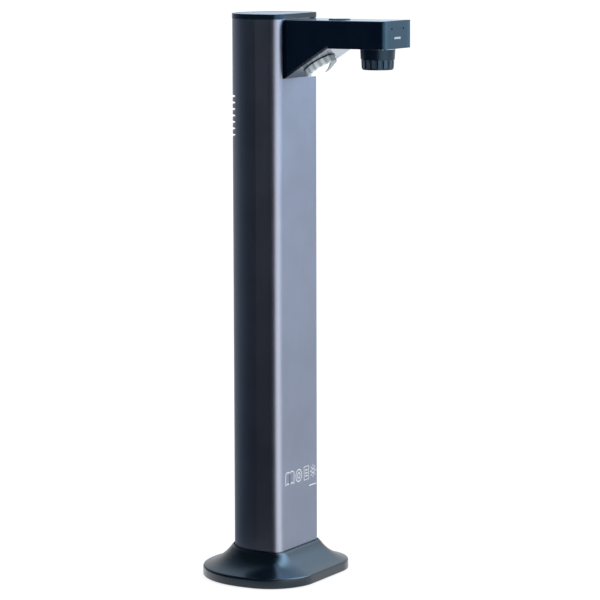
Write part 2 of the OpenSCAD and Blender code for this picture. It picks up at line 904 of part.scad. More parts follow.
module camera_screws() color("#8d9096") {
    head = 2.6;
    for (p = CAMERA_POSTS)
        translate([p[0], -lens_reach + p[1], 0]) {
            rod(head, camera_board_top + seat, camera_board_top + large_clear);
            rod(large_shank, arm_floor_top + 2, camera_board_top + 0.2);
        }
}

module image_sensor() color("#2c3340") {
    half = [6, 4.5];
    translate([0, -lens_reach, 0])
        wide_box(half[0], -half[1], half[1], camera_board_bottom - 1, camera_board_bottom + 0.02);
}

module lens_mount() color("#17181b") {
    translate([0, -lens_reach, 0])
        difference() {
            union() {
                rod(mount_flange_radius, arm_floor_top + seat, arm_floor_top + mount_flange,
                    round_fn);
                rod(mount_radius, arm_floor_top + seat, camera_board_bottom - 1.2, round_fn);
            }
            rod(barrel_radius + running_gap, arm_bottom, camera_board_bottom + cut, round_fn);
        }
}

module lens_trim_ring() color("#c9ced6") {
    translate([0, -lens_reach, 0])
        tube(collar_top_radius + 0.05, collar_bore + cut, collar_top + 0.02, arm_bottom - 0.02);
}

module lens_collar() color("#0b0c0f") {
    translate([0, -lens_reach, 0])
        difference() {
            union() {
                translate([0, 0, collar_bottom])
                    cylinder(r1 = collar_foot_radius, r2 = collar_top_radius,
                             h = collar_top - collar_bottom, $fn = round_fn);
                rod(collar_bore + sleeve_wall, collar_top - 0.1, arm_bottom + 1.4, round_fn);
            }
            rod(collar_bore, collar_bottom - cut, arm_bottom + 2, round_fn);
        }
}

module focus_ring() color("#101115") {
    groove_offset = 0.2;
    groove_end = 0.7;
    translate([0, -lens_reach, 0])
        difference() {
            union() {
                translate([0, 0, ring_bottom + ring_chamfer])
                    cylinder(r1 = ring_foot_radius, r2 = ring_top_radius,
                             h = ring_top - ring_bottom - ring_chamfer, $fn = round_fn);
                translate([0, 0, ring_bottom])
                    cylinder(r1 = ring_chamfer_radius, r2 = ring_foot_radius, h = ring_chamfer,
                             $fn = round_fn);
                rod(collar_bore - running_gap, ring_top - 0.1, ring_top + ring_sleeve, round_fn);
            }
            rod(barrel_radius + running_gap, ring_bottom - cut, ring_top + ring_sleeve + 1,
                round_fn);
            for (i = [0:ring_grooves - 1])
                rotate([0, 0, 360 * i / ring_grooves])
                    translate([ring_top_radius + groove_offset, 0, 0])
                        rod(groove_radius, ring_bottom - cut, ring_top - groove_end);
        }
}

module lens_barrel() color("#0c0d10") {
    mouth = [0.6, 1.1];
    translate([0, -lens_reach, 0])
        difference() {
            rod(barrel_radius, barrel_bottom, barrel_top, round_fn);
            rod(barrel_bore, barrel_bottom + barrel_lip, barrel_top + cut, round_fn);
            rod(aperture_radius, barrel_bottom - cut, barrel_top, round_fn);
            translate([0, 0, barrel_bottom - 0.01])
                cylinder(r1 = barrel_bore + mouth[0], r2 = aperture_radius, h = mouth[1],
                         $fn = round_fn);
        }
}

module front_lens() color("#31405c") {
    translate([0, -lens_reach, 0]) {
        rod(glass_radius, front_glass_bottom, front_glass_top, round_fn);
        intersection() {
            rod(aperture_radius - 0.1, front_glass_bottom - 2, front_glass_bottom + 0.1, round_fn);
            translate([0, 0, front_glass_bottom - bulge + bulge_sphere])
                sphere(r = bulge_sphere, $fn = round_fn);
        }
    }
}

module lens_elements() color("#8fa3b8") {
    translate([0, -lens_reach, front_glass_bottom])
        for (e = ELEMENTS) rod(glass_radius, e[0], e[1], round_fn);
}

module lens_spacers() color("#17181b") {
    translate([0, -lens_reach, front_glass_bottom])
        for (s = SPACERS) tube(glass_radius, aperture_radius, s[0], s[1]);
}

module lens_retainer() color("#17181b") {
    translate([0, -lens_reach, front_glass_bottom])
        tube(glass_radius, retainer_bore, RETAINER[0], RETAINER[1]);
}

// ---------------------------------------------------------------- lamp

module lamp_bezel() color("#2a323d") {
    on_soffit()
        difference() {
            union() {
                rod(lamp_radius - seat, bezel_back, bezel_front, round_fn);
                rod(bezel_flange, bezel_back, -soffit_thickness - seat, round_fn);
            }
            rod(bezel_bore, bezel_back - cut, bezel_front + cut, round_fn);
        }
}

module lamp_lens() color("#f4f6f8") {
    on_soffit() {
        difference() {
            rod(lens_side, bezel_back - 0.1, flute_height, round_fn);
            for (i = [0:lamp_flutes - 1])
                rotate([0, 0, 360 * i / lamp_flutes])
                    translate([lens_side + flute_offset, 0, 0])
                        rod(flute_radius, flute_foot, flute_height + cut);
        }
        rod(lamp_flange, lens_back, bezel_back - seat, round_fn);
        intersection() {
            rod(dome_radius, flute_height - 0.1, flute_height + dome_height + cut, round_fn);
            translate([0, 0, flute_height + dome_height - dome_sphere])
                sphere(r = dome_sphere, $fn = round_fn);
        }
    }
}

module lamp_reflector() color("#e8eaec") {
    wall = 2.6;
    on_soffit()
        tube(lamp_flange, lamp_flange - wall, lamp_board_top + seat, lens_back - seat);
}

module lamp_board() color("#d8dade") {
    on_soffit()
        difference() {
            union() {
                rod(lamp_flange, lamp_board_bottom, lamp_board_top, round_fn);
                translate([-lamp_post_x, -lamp_post, lamp_board_bottom])
                    cube([2 * lamp_post_x, 2 * lamp_post, lamp_board_top - lamp_board_bottom]);
                for (side = [-1, 1])
                    translate([side * lamp_post_x, 0, 0])
                        rod(lamp_post, lamp_board_bottom, lamp_board_top);
            }
            for (side = [-1, 1])
                translate([side * lamp_post_x, 0, 0])
                    rod(small_clear, lamp_board_bottom - cut, lamp_board_top + cut);
        }
}

module lamp_leds() color("#f3e9a8") {
    on_soffit() {
        for (i = [0:led_count - 1])
            rotate([0, 0, 360 * i / led_count])
                translate([led_circle, -led_size / 2, lamp_board_top])
                    cube([led_size, led_size, led_height]);
        translate([-led_size / 2, -led_size / 2, lamp_board_top])
            cube([led_size, led_size, led_height]);
    }
}

module lamp_screws() color("#8d9096") {
    head = 2;
    head_height = 1.05;
    tip = -3;
    on_soffit()
        for (side = [-1, 1])
            translate([side * lamp_post_x, 0, 0]) {
                rod(head, lamp_board_bottom - seat - head_height, lamp_board_bottom - seat);
                rod(small_shank, lamp_board_bottom - 0.1, tip);
            }
}

// ---------------------------------------------------------------- button

module lamp_button() color("#17181c") {
    translate([0, -button_reach, 0]) {
        rod(button_radius, arm_top - button_skirt + button_overlap, arm_top + button_rise,
            round_fn);
        rod(button_flange, arm_top - button_skirt, arm_top - arm_wall - seat, round_fn);
        rod(button_stem, button_stem_foot, arm_top - button_skirt + 0.1);
    }
}

// Silicone dome that pushes the button back up
module button_spring() color("#d9d9d4") {
    translate([0, -button_reach, 0])
        difference() {
            translate([0, 0, button_board_top + seat])
                cylinder(r1 = dome_foot, r2 = dome_top, h = dome_rise, $fn = small_fn);
            translate([0, 0, button_board_top])
                cylinder(r1 = dome_foot - dome_wall, r2 = dome_top - dome_wall,
                         h = dome_rise + 0.1, $fn = small_fn);
        }
}

module button_switch() color("#3a3d42") {
    translate([0, -button_reach, 0]) {
        wide_box(switch_half, -switch_half, switch_half, button_board_top,
                 button_board_top + switch_height);
        rod(plunger_radius, button_board_top + switch_height - 0.1,
            button_board_top + plunger_height);
    }
}

module button_board() color("#1d5a38") {
    difference() {
        wide_box(button_board_half[0], -button_reach - button_board_half[1],
                 -button_reach + button_board_half[1], button_board_bottom, button_board_top);
        for (p = BUTTON_POSTS)
            translate([p[0], -button_reach + p[1], 0]) rod(small_clear, arm_bottom, arm_top);
    }
}

module button_screws() color("#8d9096") {
    for (p = BUTTON_POSTS)
        translate([p[0], -button_reach + p[1], 0]) {
            rod(small_head, button_board_bottom - 1.1, button_board_bottom - seat);
            rod(small_shank, button_board_bottom - 0.2, button_board_top + 3.5);
        }
}

// ---------------------------------------------------------------- wiring inside the arm

module head_ribbon() color("#c9c4b4") {
    strip(HEAD_ROUTE, -ribbon_half, 2 * ribbon_half, ribbon_thickness);
}

module lamp_cable() color("#c23b32") {
    strip(LAMP_ROUTE, lamp_cable_x, lamp_cable_width, lamp_cable_thickness);
}

rubber_mat();
base_floor();
floor_screws();
column_bolts();
ballast_weight();
base_shell();
collar_gasket();
port_board();
port_screws();
usb_socket();
port_ribbon();
column_tube();
main_board();
board_chips();
heat_sink();
arm_bracket();
top_cap();
cap_screws();
top_inlay();
arm_housing();
arm_screws();
arm_floor();
arm_soffit();
arm_end_plate();
mic_board();
mic_capsules();
camera_board();
camera_screws();
image_sensor();
lens_mount();
lens_trim_ring();
lens_collar();
focus_ring();
lens_barrel();
lens_elements();
lens_spacers();
front_lens();
lens_retainer();
lamp_bezel();
lamp_lens();
lamp_reflector();
lamp_board();
lamp_leds();
lamp_screws();
lamp_button();
button_spring();
button_switch();
button_board();
button_screws();
head_ribbon();
lamp_cable();
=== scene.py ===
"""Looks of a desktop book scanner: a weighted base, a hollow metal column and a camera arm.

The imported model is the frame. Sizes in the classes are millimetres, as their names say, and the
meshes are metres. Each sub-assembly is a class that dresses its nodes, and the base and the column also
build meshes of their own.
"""
import logging
import math
from dataclasses import dataclass
from enum import Enum
from typing import Protocol, Sequence, Union

import bpy
from mathutils import Matrix, Vector


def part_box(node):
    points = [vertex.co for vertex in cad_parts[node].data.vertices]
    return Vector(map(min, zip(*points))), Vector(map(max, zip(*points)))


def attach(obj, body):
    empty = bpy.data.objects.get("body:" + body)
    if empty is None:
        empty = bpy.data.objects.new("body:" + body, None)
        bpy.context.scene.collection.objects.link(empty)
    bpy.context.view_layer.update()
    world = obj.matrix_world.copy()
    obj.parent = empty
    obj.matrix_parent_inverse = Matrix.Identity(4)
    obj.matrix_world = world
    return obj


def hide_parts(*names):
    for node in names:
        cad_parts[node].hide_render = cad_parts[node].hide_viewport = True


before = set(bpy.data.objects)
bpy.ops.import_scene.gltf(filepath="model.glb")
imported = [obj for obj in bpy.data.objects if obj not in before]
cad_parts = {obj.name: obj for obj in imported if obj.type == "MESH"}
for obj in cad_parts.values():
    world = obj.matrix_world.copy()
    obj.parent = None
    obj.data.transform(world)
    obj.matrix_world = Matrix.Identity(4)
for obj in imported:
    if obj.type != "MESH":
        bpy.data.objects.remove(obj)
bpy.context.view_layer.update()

NODES: dict[str, bpy.types.Object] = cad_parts
MM = 0.001

Colour = tuple[float, float, float]
Point2 = tuple[float, float]
Point3 = tuple[float, float, float]
Input = Union["Value", float, Sequence[float]]

log = logging.getLogger("book_scanner")


# ------------------------------------------------------------------ shader tools


class Value:
    """A shader socket that arithmetic can be written on."""

    def __init__(self, shader: "Shader", socket: bpy.types.NodeSocket) -> None:
        """Keep the socket and the shader that it belongs to."""
        self.shader = shader
        self.socket = socket

    def math(self, operation: str, *others: Input, first: bool = True) -> "Value":
        """Add a Math node.

        Args:
            operation: The Math node's operation.
            others: The other inputs, in order.
            first: Whether this value is the first input or the last.

        Returns:
            The node's result.
        """
        terms = [self, *others] if first else [*others, self]
        return self.shader.node("ShaderNodeMath", {"operation": operation}, dict(enumerate(terms)))

    def __add__(self, other: Input) -> "Value":
        """Return this plus another value."""
        return self.math("ADD", other)

    def __sub__(self, other: Input) -> "Value":
        """Return this less another value."""
        return self.math("SUBTRACT", other)

    def __rsub__(self, other: Input) -> "Value":
        """Return another value less this one."""
        return self.math("SUBTRACT", other, first=False)

    def __mul__(self, other: Input) -> "Value":
        """Return this times another value."""
        return self.math("MULTIPLY", other)

    def __truediv__(self, other: Input) -> "Value":
        """Return this divided by another value."""
        return self.math("DIVIDE", other)

    def __rtruediv__(self, other: Input) -> "Value":
        """Return another value divided by this one."""
        return self.math("DIVIDE", other, first=False)

    def __gt__(self, other: Input) -> "Value":
        """Return 1 where this is greater and 0 elsewhere."""
        return self.math("GREATER_THAN", other)

    def __lt__(self, other: Input) -> "Value":
        """Return 1 where this is smaller and 0 elsewhere."""
        return self.math("LESS_THAN", other)

    def __abs__(self) -> "Value":
        """Return this without its sign."""
        return self.math("ABSOLUTE")

    __radd__ = __add__
    __rmul__ = __mul__

    def fraction(self) -> "Value":
        """Return what follows the decimal point."""
        return self.math("FRACT")

    def smooth(self, low: float, high: float) -> "Value":
        """Rise smoothly from 0 to 1.

        Args:
            low: Where the rise starts.
            high: Where it ends, which may be below low.

        Returns:
            A value from 0 to 1.
        """
        return self.shader.node(
            "ShaderNodeMapRange",
            {"interpolation_type": "SMOOTHSTEP", "clamp": True},
            {"Value": self, "From Min": low, "From Max": high, "To Min": 0.0, "To Max": 1.0},
        )

    def rise(self, span_mm: Point2) -> "Value":
        """Rise smoothly from 0 to 1 over a span of millimetres, where this is in metres."""
        return self.smooth(span_mm[0] * MM, span_mm[1] * MM)


class Shader:
    """The node tree of one material."""

    def __init__(self, name: str) -> None:
        """Make an empty material."""
        self.material = bpy.data.materials.new(name)
        self.material.use_nodes = True
        self.tree = self.material.node_tree
        self.tree.nodes.clear()

    def node(
        self,
        kind: str,
        settings: dict[str, object] | None = None,
        inputs: dict[int | str, Input] | None = None,
        output: int | str = 0,
    ) -> Value:
        """Add a node, set it, and link or fill its sockets.

        Args:
            kind: The node's type.
            settings: Its settings; "stops" are a ramp's positions and colours.
            inputs: A value, number or vector for each named or numbered socket.
            output: The socket that is returned.

        Returns:
            The chosen output.
        """
        made = self.tree.nodes.new(kind)
        for key, setting in (settings or {}).items():
            if key == "stops":
                self._set_stops(made.color_ramp, setting)
            else:
                setattr(made, key, setting)
        for key, given in (inputs or {}).items():
            socket = made.inputs[key]
            if isinstance(given, Value):
                self.tree.links.new(given.socket, socket)
            elif isinstance(given, (int, float)):
                socket.default_value = given
            else:
                opaque = [1.0] * (len(socket.default_value) - len(given))
                socket.default_value = [*given, *opaque]
        return Value(self, made.outputs[output] if made.outputs else None)

    @staticmethod
    def _set_stops(ramp: bpy.types.ColorRamp, stops: Sequence[tuple[float, Colour]]) -> None:
        """Give a ramp its stops.

        Args:
            ramp: The ramp.
            stops: Position and colour of each stop, lowest first.
        """
        while len(ramp.elements) < len(stops):
            ramp.elements.new(1.0)
        for element, (position, colour) in zip(ramp.elements, stops):
            element.position = position
            element.color = (*colour, 1.0)

    def place(self) -> Value:
        """Return the point on the surface in the frame's metres."""
        return self.node("ShaderNodeTexCoord", output="Object")

    def axes(self) -> tuple[Value, Value, Value]:
        """Return the X, Y and Z of the point on the surface, in metres."""
        split = self.node("ShaderNodeSeparateXYZ", inputs={0: self.place()})
        outputs = split.socket.node.outputs
        return Value(self, outputs[0]), Value(self, outputs[1]), Value(self, outputs[2])

    def noise(self, size_mm: float, detail: float = 2.0, stretch: Point3 = (1, 1, 1)) -> Value:
        """Cloudy noise on the object's own coordinates.

        Args:
            size_mm: Rough size of one cloud.
            detail: Number of finer layers.
            stretch: How many times longer the clouds are along each axis.

        Returns:
            A value around one half.
        """
        scaled = self.node(
            "ShaderNodeVectorMath",
            {"operation": "DIVIDE"},
            {0: self.place(), 1: tuple(size_mm * MM * s for s in stretch)},
        )
        return self.node(
            "ShaderNodeTexNoise",
            inputs={"Vector": scaled, "Scale": 1.0, "Detail": detail, "Roughness": 0.6},
        )

    def mottle(
        self, size_mm: float, detail: float = 2.0, stretch: Point3 = (1, 1, 1), spread: float = 0.2
    ) -> Value:
        """Cloudy noise with its contrast raised.

        Args:
            size_mm: Rough size of one cloud.
            detail: Number of finer layers.
            stretch: How many times longer the clouds are along each axis.
            spread: How far from the middle it reaches 0 or 1.

        Returns:
            A value from 0 to 1.
        """
        return self.noise(size_mm, detail, stretch).smooth(0.5 - spread, 0.5 + spread)

    def blend(self, factor: Input, first: Input, second: Input) -> Value:
        """Mix two colours.

        Args:
            factor: 0 for the first colour, 1 for the second.
            first: A colour or a link to one.
            second: A colour or a link to one.

        Returns:
            The mixed colour.
        """
        return self.node(
            "ShaderNodeMix", {"data_type": "RGBA"}, {0: factor, 6: first, 7: second}, output=2
        )

    def bump(self, height: Value, depth_mm: float, strength: float = 1.0) -> Value:
        """Turn a height into a normal.

        Args:
            height: 0 at the bottom and 1 at the top.
            depth_mm: The height that 1 stands for.
            strength: Share of the effect.

        Returns:
            The normal.
        """
        return self.node(
            "ShaderNodeBump",
            inputs={"Strength": strength, "Distance": depth_mm * MM, "Height": height},
        )

    def finish(self, inputs: dict[str, Input]) -> bpy.types.Material:
        """End the tree in a Principled shader.

        Args:
            inputs: Its sockets.

        Returns:
            The material.
        """
        surface = self.node("ShaderNodeBsdfPrincipled", inputs=inputs)
        self.node("ShaderNodeOutputMaterial", inputs={"Surface": surface})
        return self.material


def shade(colour: Colour, factor: float) -> Colour:
    """Return a colour made darker or lighter."""
    return (colour[0] * factor, colour[1] * factor, colour[2] * factor)


# ------------------------------------------------------------------ finishes


class Grain(Enum):
    """Surface texture of a moulded plastic, as its size and depth in millimetres."""

    POLISHED = (6.0, 0.004)
    FINE = (0.35, 0.012)
    SPARK = (0.7, 0.03)


COOL = (0.40, 0.72, 1.0)  # reflections of the blue-black plastics


@dataclass(frozen=True)
class Anodised:
    """Blasted and anodised aluminium: a metal with a fine even grain."""

    colour: Colour
    roughness: float = 0.36
    grain_mm: float = 0.32
    drawn_mm: float = 0.5
    drawn_length: float = 120.0
    cloud_mm: float = 38.0
    depth_mm: float = 0.01
    contrast: float = 0.16

    def material(self, name: str) -> bpy.types.Material:
        """Build the material.

        Args:
            name: The slot's name.

        Returns:
            The material.
        """
        s = Shader(name)
        grain = s.mottle(self.grain_mm, 3.0)
        drawn = s.mottle(self.drawn_mm, 1.0, (1, 1, self.drawn_length))
        clouds = s.mottle(self.cloud_mm, spread=0.15)
        tone = grain * 0.7 + drawn * 0.12 + clouds * 0.18
        dark = shade(self.colour, 1.0 - self.contrast)
        light = shade(self.colour, 1.0 + self.contrast)
        return s.finish(
            {
                "Base Color": s.blend(tone, dark, light),
                "Metallic": 1.0,
                "Roughness": self.roughness - 0.04 + grain * 0.05 + clouds * 0.03,
                "Normal": s.bump(grain, self.depth_mm, 0.5),
            }
        )


@dataclass(frozen=True)
class Moulded:
    """Moulded plastic, from polished to spark-eroded."""

    colour: Colour
    roughness: float
    grain: Grain = Grain.FINE
    sheen_tint: Colour = (1.0, 1.0, 1.0)
    level: float = 0.5
    flow_mm: float = 26.0

    def material(self, name: str) -> bpy.types.Material:
        """Build the material.

        Args:
            name: The slot's name.

        Returns:
            The material.
        """
        s = Shader(name)
        size, depth = self.grain.value
        grain = s.mottle(size, 3.0, spread=0.25)
        flow = s.mottle(self.flow_mm, 2.0, (1, 1, 2), spread=0.15)
        tone = grain * 0.5 + flow * 0.5
        return s.finish(
            {
                "Base Color": s.blend(tone, shade(self.colour, 0.86), shade(self.colour, 1.14)),
                "Roughness": self.roughness + (tone - 0.5) * 0.08,
                "Specular IOR Level": self.level,
                "Specular Tint": self.sheen_tint,
                "Normal": s.bump(grain, depth, 0.4),
            }
        )


class Lay(Enum):
    """Direction of a brushed metal's lines, as the stretch of its noise."""

    ACROSS = (80, 1, 1)
    DEEP = (1, 80, 1)
    UPRIGHT = (1, 1, 80)


@dataclass(frozen=True)
class Brushed:
    """Metal with fine brushed lines, with painted shade that may darken it below a height."""

    colour: Colour
    roughness: float = 0.3
    lay: Lay = Lay.ACROSS
    painted_shade_rise_mm: Point2 = (-1.0, 0.0)
    painted_shade_colour: Colour = (0.0, 0.0, 0.0)
    line_mm: float = 0.18
    cloud_mm: float = 14.0
    depth_mm: float = 0.004

    def material(self, name: str) -> bpy.types.Material:
        """Build the material.

        Args:
            name: The slot's name.

        Returns:
            The material.
        """
        s = Shader(name)
        lines = s.mottle(self.line_mm, 2.0, self.lay.value)
        clouds = s.mottle(self.cloud_mm, spread=0.15)
        tone = lines * 0.6 + clouds * 0.4
        # Painted shade: below a height the colour darkens towards the shade colour.
        bright = s.axes()[2].rise(self.painted_shade_rise_mm)
        body = s.blend(tone, shade(self.colour, 0.9), shade(self.colour, 1.1))
        return s.finish(
            {
                "Base Color": s.blend(bright, self.painted_shade_colour, body),
                "Metallic": 1.0,
                "Roughness": self.roughness + (tone - 0.5) * 0.12,
                "Normal": s.bump(lines, self.depth_mm, 0.35),
            }
        )


@dataclass(frozen=True)
class Rubber:
    """Matt rubber or silicone with a dusty bloom."""

    colour: Colour
    roughness: float = 0.85
    pore_mm: float = 0.5
    bloom_mm: float = 9.0
    depth_mm: float = 0.05

    def material(self, name: str) -> bpy.types.Material:
        """Build the material.

        Args:
            name: The slot's name.

        Returns:
            The material.
        """
        s = Shader(name)
        pores = s.mottle(self.pore_mm, 3.0)
        bloom = s.noise(self.bloom_mm, 3.0).smooth(0.4, 0.7)
        return s.finish(
            {
                "Base Color": s.blend(bloom * 0.5, self.colour, shade(self.colour, 1.5)),
                "Roughness": self.roughness + pores * 0.08,
                "Normal": s.bump(pores, self.depth_mm, 0.6),
            }
        )


@dataclass(frozen=True)
class CoatedGlass:
    """Optical glass with a violet-green coating that shows more at a slant."""

    centre: Colour
    rim: Colour
    transmission: float = 0.75
    film_mm: float = 5.0
    index: float = 1.52
    coat: float = 0.6
    polish: float = 0.02

    def material(self, name: str) -> bpy.types.Material:
        """Build the material.

        Args:
            name: The slot's name.

        Returns:
            The material.
        """
        s = Shader(name)
        slant = s.node("ShaderNodeLayerWeight", inputs={"Blend": 0.4}, output="Facing")
        film = s.mottle(self.film_mm, 1.0, spread=0.15)
        return s.finish(
            {
                "Base Color": s.blend(slant * 0.85 + film * 0.15, self.centre, self.rim),
                "Roughness": 0.03 + film * 0.02,
                "IOR": self.index,
                "Transmission Weight": self.transmission,
                "Coat Weight": self.coat,
                "Coat Roughness": self.polish,
            }
        )


@dataclass(frozen=True)
class CastMetal:
    """Rough cast iron under a thin coat of paint."""

    colour: Colour
    rust_colour: Colour = (0.16, 0.09, 0.05)
    sand_mm: float = 1.1
    rust_mm: float = 7.0
    depth_mm: float = 0.2

    def material(self, name: str) -> bpy.types.Material:
        """Build the material.

        Args:
            name: The slot's name.

        Returns:
            The material.
        """
        s = Shader(name)
        sand = s.mottle(self.sand_mm, 4.0, spread=0.25)
        rust = s.noise(self.rust_mm, 3.0).smooth(0.62, 0.75)
        return s.finish(
            {
                "Base Color": s.blend(rust * 0.35, self.colour, self.rust_colour),
                "Metallic": 0.6,
                "Roughness": 0.55 + sand * 0.2,
                "Normal": s.bump(sand, self.depth_mm, 0.7),
            }
        )


@dataclass(frozen=True)
class SolderMask:
    """Circuit board: solder mask over tracks and pads."""

    mask: Colour
    copper: Colour
    track_mm: float = 1.3
    track_edge: Point2 = (0.2, 0.26)
    slant: Point2 = (0.35, 0.2)
    wander_mm: float = 9.0
    wander: float = 4.0
    pad_every: int = 3
    pad_edge: Point2 = (0.17, 0.14)
    depth_mm: float = 0.03

    def material(self, name: str) -> bpy.types.Material:
        """Build the material.

        Args:
            name: The slot's name.

        Returns:
            The material.
        """
        s = Shader(name)
        x, y, z = s.axes()
        pitch = self.track_mm * MM
        wander = s.noise(self.wander_mm, 0.0) * self.wander
        across = x + y * self.slant[0] + z * self.slant[1]
        stripes = abs((across / pitch + wander).fraction() - 0.5)
        tracks = stripes.smooth(*self.track_edge)
        cell = pitch * self.pad_every
        cells = s.node(
            "ShaderNodeVectorMath", {"operation": "DIVIDE"}, {0: s.place(), 1: (cell, cell, cell)}
        )
        dots = s.node("ShaderNodeTexVoronoi", inputs={"Vector": cells, "Scale": 1.0})
        pads = dots.smooth(*self.pad_edge)
        green = s.blend(tracks, self.mask, shade(self.mask, 1.9))
        return s.finish(
            {
                "Base Color": s.blend(pads, green, self.copper),
                "Metallic": pads * 0.9,
                "Roughness": 0.34 - pads * 0.1,
                "Normal": s.bump(tracks + pads, self.depth_mm, 0.6),
            }
        )


@dataclass(frozen=True)
class CableJacket:
    """Cable jacket with a rib along each conductor, and painted shade in the valleys between the ribs."""

    colour: Colour
    rib_mm: float
    start_mm: float = 0.0
    depth_mm: float = 0.15

    def material(self, name: str) -> bpy.types.Material:
        """Build the material.

        Args:
            name: The slot's name.

        Returns:
            The material.
        """
        s = Shader(name)
        x, _, _ = s.axes()
        rib = abs(((x - self.start_mm * MM) / (self.rib_mm * MM)).fraction() - 0.5) * 2.0
        # Painted shade: the jacket darkens in the valleys between the ribs.
        shaded_valley = rib.smooth(0.7, 1.0)
        return s.finish(
            {
                "Base Color": s.blend(shaded_valley, self.colour, shade(self.colour, 0.45)),
                "Roughness": 0.42 + shaded_valley * 0.2,
                "Normal": s.bump(1.0 - shaded_valley, self.depth_mm, 0.8),
            }
        )


@dataclass(frozen=True)
class Phosphor:
    """Light-emitting chip under a dome of yellow phosphor."""

    colour: Colour
    grain_mm: float = 0.25
    glow: float = 0.3
    depth_mm: float = 0.02

    def material(self, name: str) -> bpy.types.Material:
        """Build the material.

        Args:
            name: The slot's name.

        Returns:
            The material.
        """
        s = Shader(name)
        grains = s.mottle(self.grain_mm, 3.0)
        return s.finish(
            {
                "Base Color": s.blend(grains, shade(self.colour, 0.8), self.colour),
                "Roughness": 0.35 + grains * 0.1,
                "Emission Color": self.colour,
                "Emission Strength": self.glow,
                "Normal": s.bump(grains, self.depth_mm, 0.4),
            }
        )


@dataclass(frozen=True)
class Ink:
    """Screen-printed ink with a slightly uneven body."""

    colour: Colour
    mesh_mm: float = 0.2
    depth_mm: float = 0.01

    def material(self, name: str) -> bpy.types.Material:
        """Build the material.

        Args:
            name: The slot's name.

        Returns:
            The material.
        """
        s = Shader(name)
        mesh = s.mottle(self.mesh_mm, spread=0.25)
        return s.finish(
            {
                "Base Color": s.blend(mesh, shade(self.colour, 0.85), self.colour),
                "Roughness": 0.45 + mesh * 0.1,
                "Normal": s.bump(mesh, self.depth_mm, 0.3),
            }
        )


@dataclass(frozen=True)
class MarkedPaint:
    """Satin paint on a plate, with painted shade in a seam and a painted highlight in a paler band down
    each side of its face.

    It carries a small generic mark, a row of dashes.
    """

    colour: Colour
    ink: Colour
    box: tuple[Vector, Vector]
    roughness: float = 0.2
    face_mm: float = 0.1
    mark_half_mm: float = 4.8
    mark_height_mm: float = 0.7
    mark_level_mm: float = 7.4
    dash_mm: float = 1.6
    dash_gap: float = 0.3
    seam_mm: float = 1.25
    shade_line_edge_mm: Point2 = (0.15, 0.5)
    highlight_band_mm: float = 7.5
    highlight_lift: float = 1.7
    grain_mm: float = 0.4
    depth_mm: float = 0.12

    def material(self, name: str) -> bpy.types.Material:
        """Build the material.

        Args:
            name: The slot's name.

        Returns:
            The material.
        """
        s = Shader(name)
        x, y, z = s.axes()
        low, high = self.box
        face = y < low.y + self.face_mm * MM
        level = low.z + self.mark_level_mm * MM
        inside = (abs(x) < self.mark_half_mm * MM) * (abs(z - level) < self.mark_height_mm * MM)
        dashes = ((x / (self.dash_mm * MM) + 0.5).fraction() > self.dash_gap) * inside * face
        side = high.x - abs(x)
        soft = self.shade_line_edge_mm[1]
        # Painted shade: a dark line darkens the seam groove down each side of the face.
        painted_shade_line = (1.0 - abs(side - self.seam_mm * MM).rise(self.shade_line_edge_mm)) * face
        # Painted highlight: a paler band down each side of the face, inside the seam.
        band = side.smooth(self.seam_mm * MM, (self.seam_mm + soft) * MM) * face
        band = band * (1.0 - side.smooth(self.highlight_band_mm * 0.5 * MM, self.highlight_band_mm * MM))
        grain = s.mottle(self.grain_mm)
        body = s.blend(grain, shade(self.colour, 0.92), shade(self.colour, 1.08))
        highlighted = s.blend(band, body, shade(self.colour, self.highlight_lift))
        seam_shaded = s.blend(painted_shade_line * 0.85, highlighted, shade(self.colour, 0.1))
        return s.finish(
            {
                "Base Color": s.blend(dashes, seam_shaded, self.ink),
                "Metallic": 0.3,
                "Roughness": self.roughness + grain * 0.05,
                "Specular Tint": COOL,
                "Normal": s.bump(grain * 0.05 - painted_shade_line, self.depth_mm, 0.4),
            }
        )


@dataclass(frozen=True)
class Ribbed:
    """Black plastic of a grip ring, paler on its ribs than in its grooves."""

    groove: Colour
    rib: Colour
    box: tuple[Vector, Vector]
    count: int = 16
    roughness: float = 0.26
    rib_edge: Point2 = (0.40, 0.56)
    foot_mm: Point2 = (0.6, 1.6)
    grain_mm: float = 0.3
    depth_mm: float = 0.02

    def material(self, name: str) -> bpy.types.Material:
        """Build the material.

        Args:
            name: The slot's name.

        Returns:
            The material.
        """
        s = Shader(name)
        x, y, z = s.axes()
        low, high = self.box
        turn = (y - (low.y + high.y) / 2).math("ARCTAN2", x) / math.tau
        across = abs((turn * self.count + self.count + 0.5).fraction() - 0.5) * 2.0
        raised = z.smooth(low.z + self.foot_mm[0] * MM, low.z + self.foot_mm[1] * MM)
        rib = across.smooth(*self.rib_edge) * raised
        grain = s.mottle(self.grain_mm, spread=0.25)
        # The ribs are paler than the grooves, with a grain that varies their tone.
        rib_tone = s.blend(grain, shade(self.rib, 0.85), shade(self.rib, 1.15))
        return s.finish(
            {
                "Base Color": s.blend(rib, self.groove, rib_tone),
                "Roughness": self.roughness + grain * 0.06,
                "Specular Tint": COOL,
                "Normal": s.bump(grain, self.depth_mm, 0.4),
            }
        )


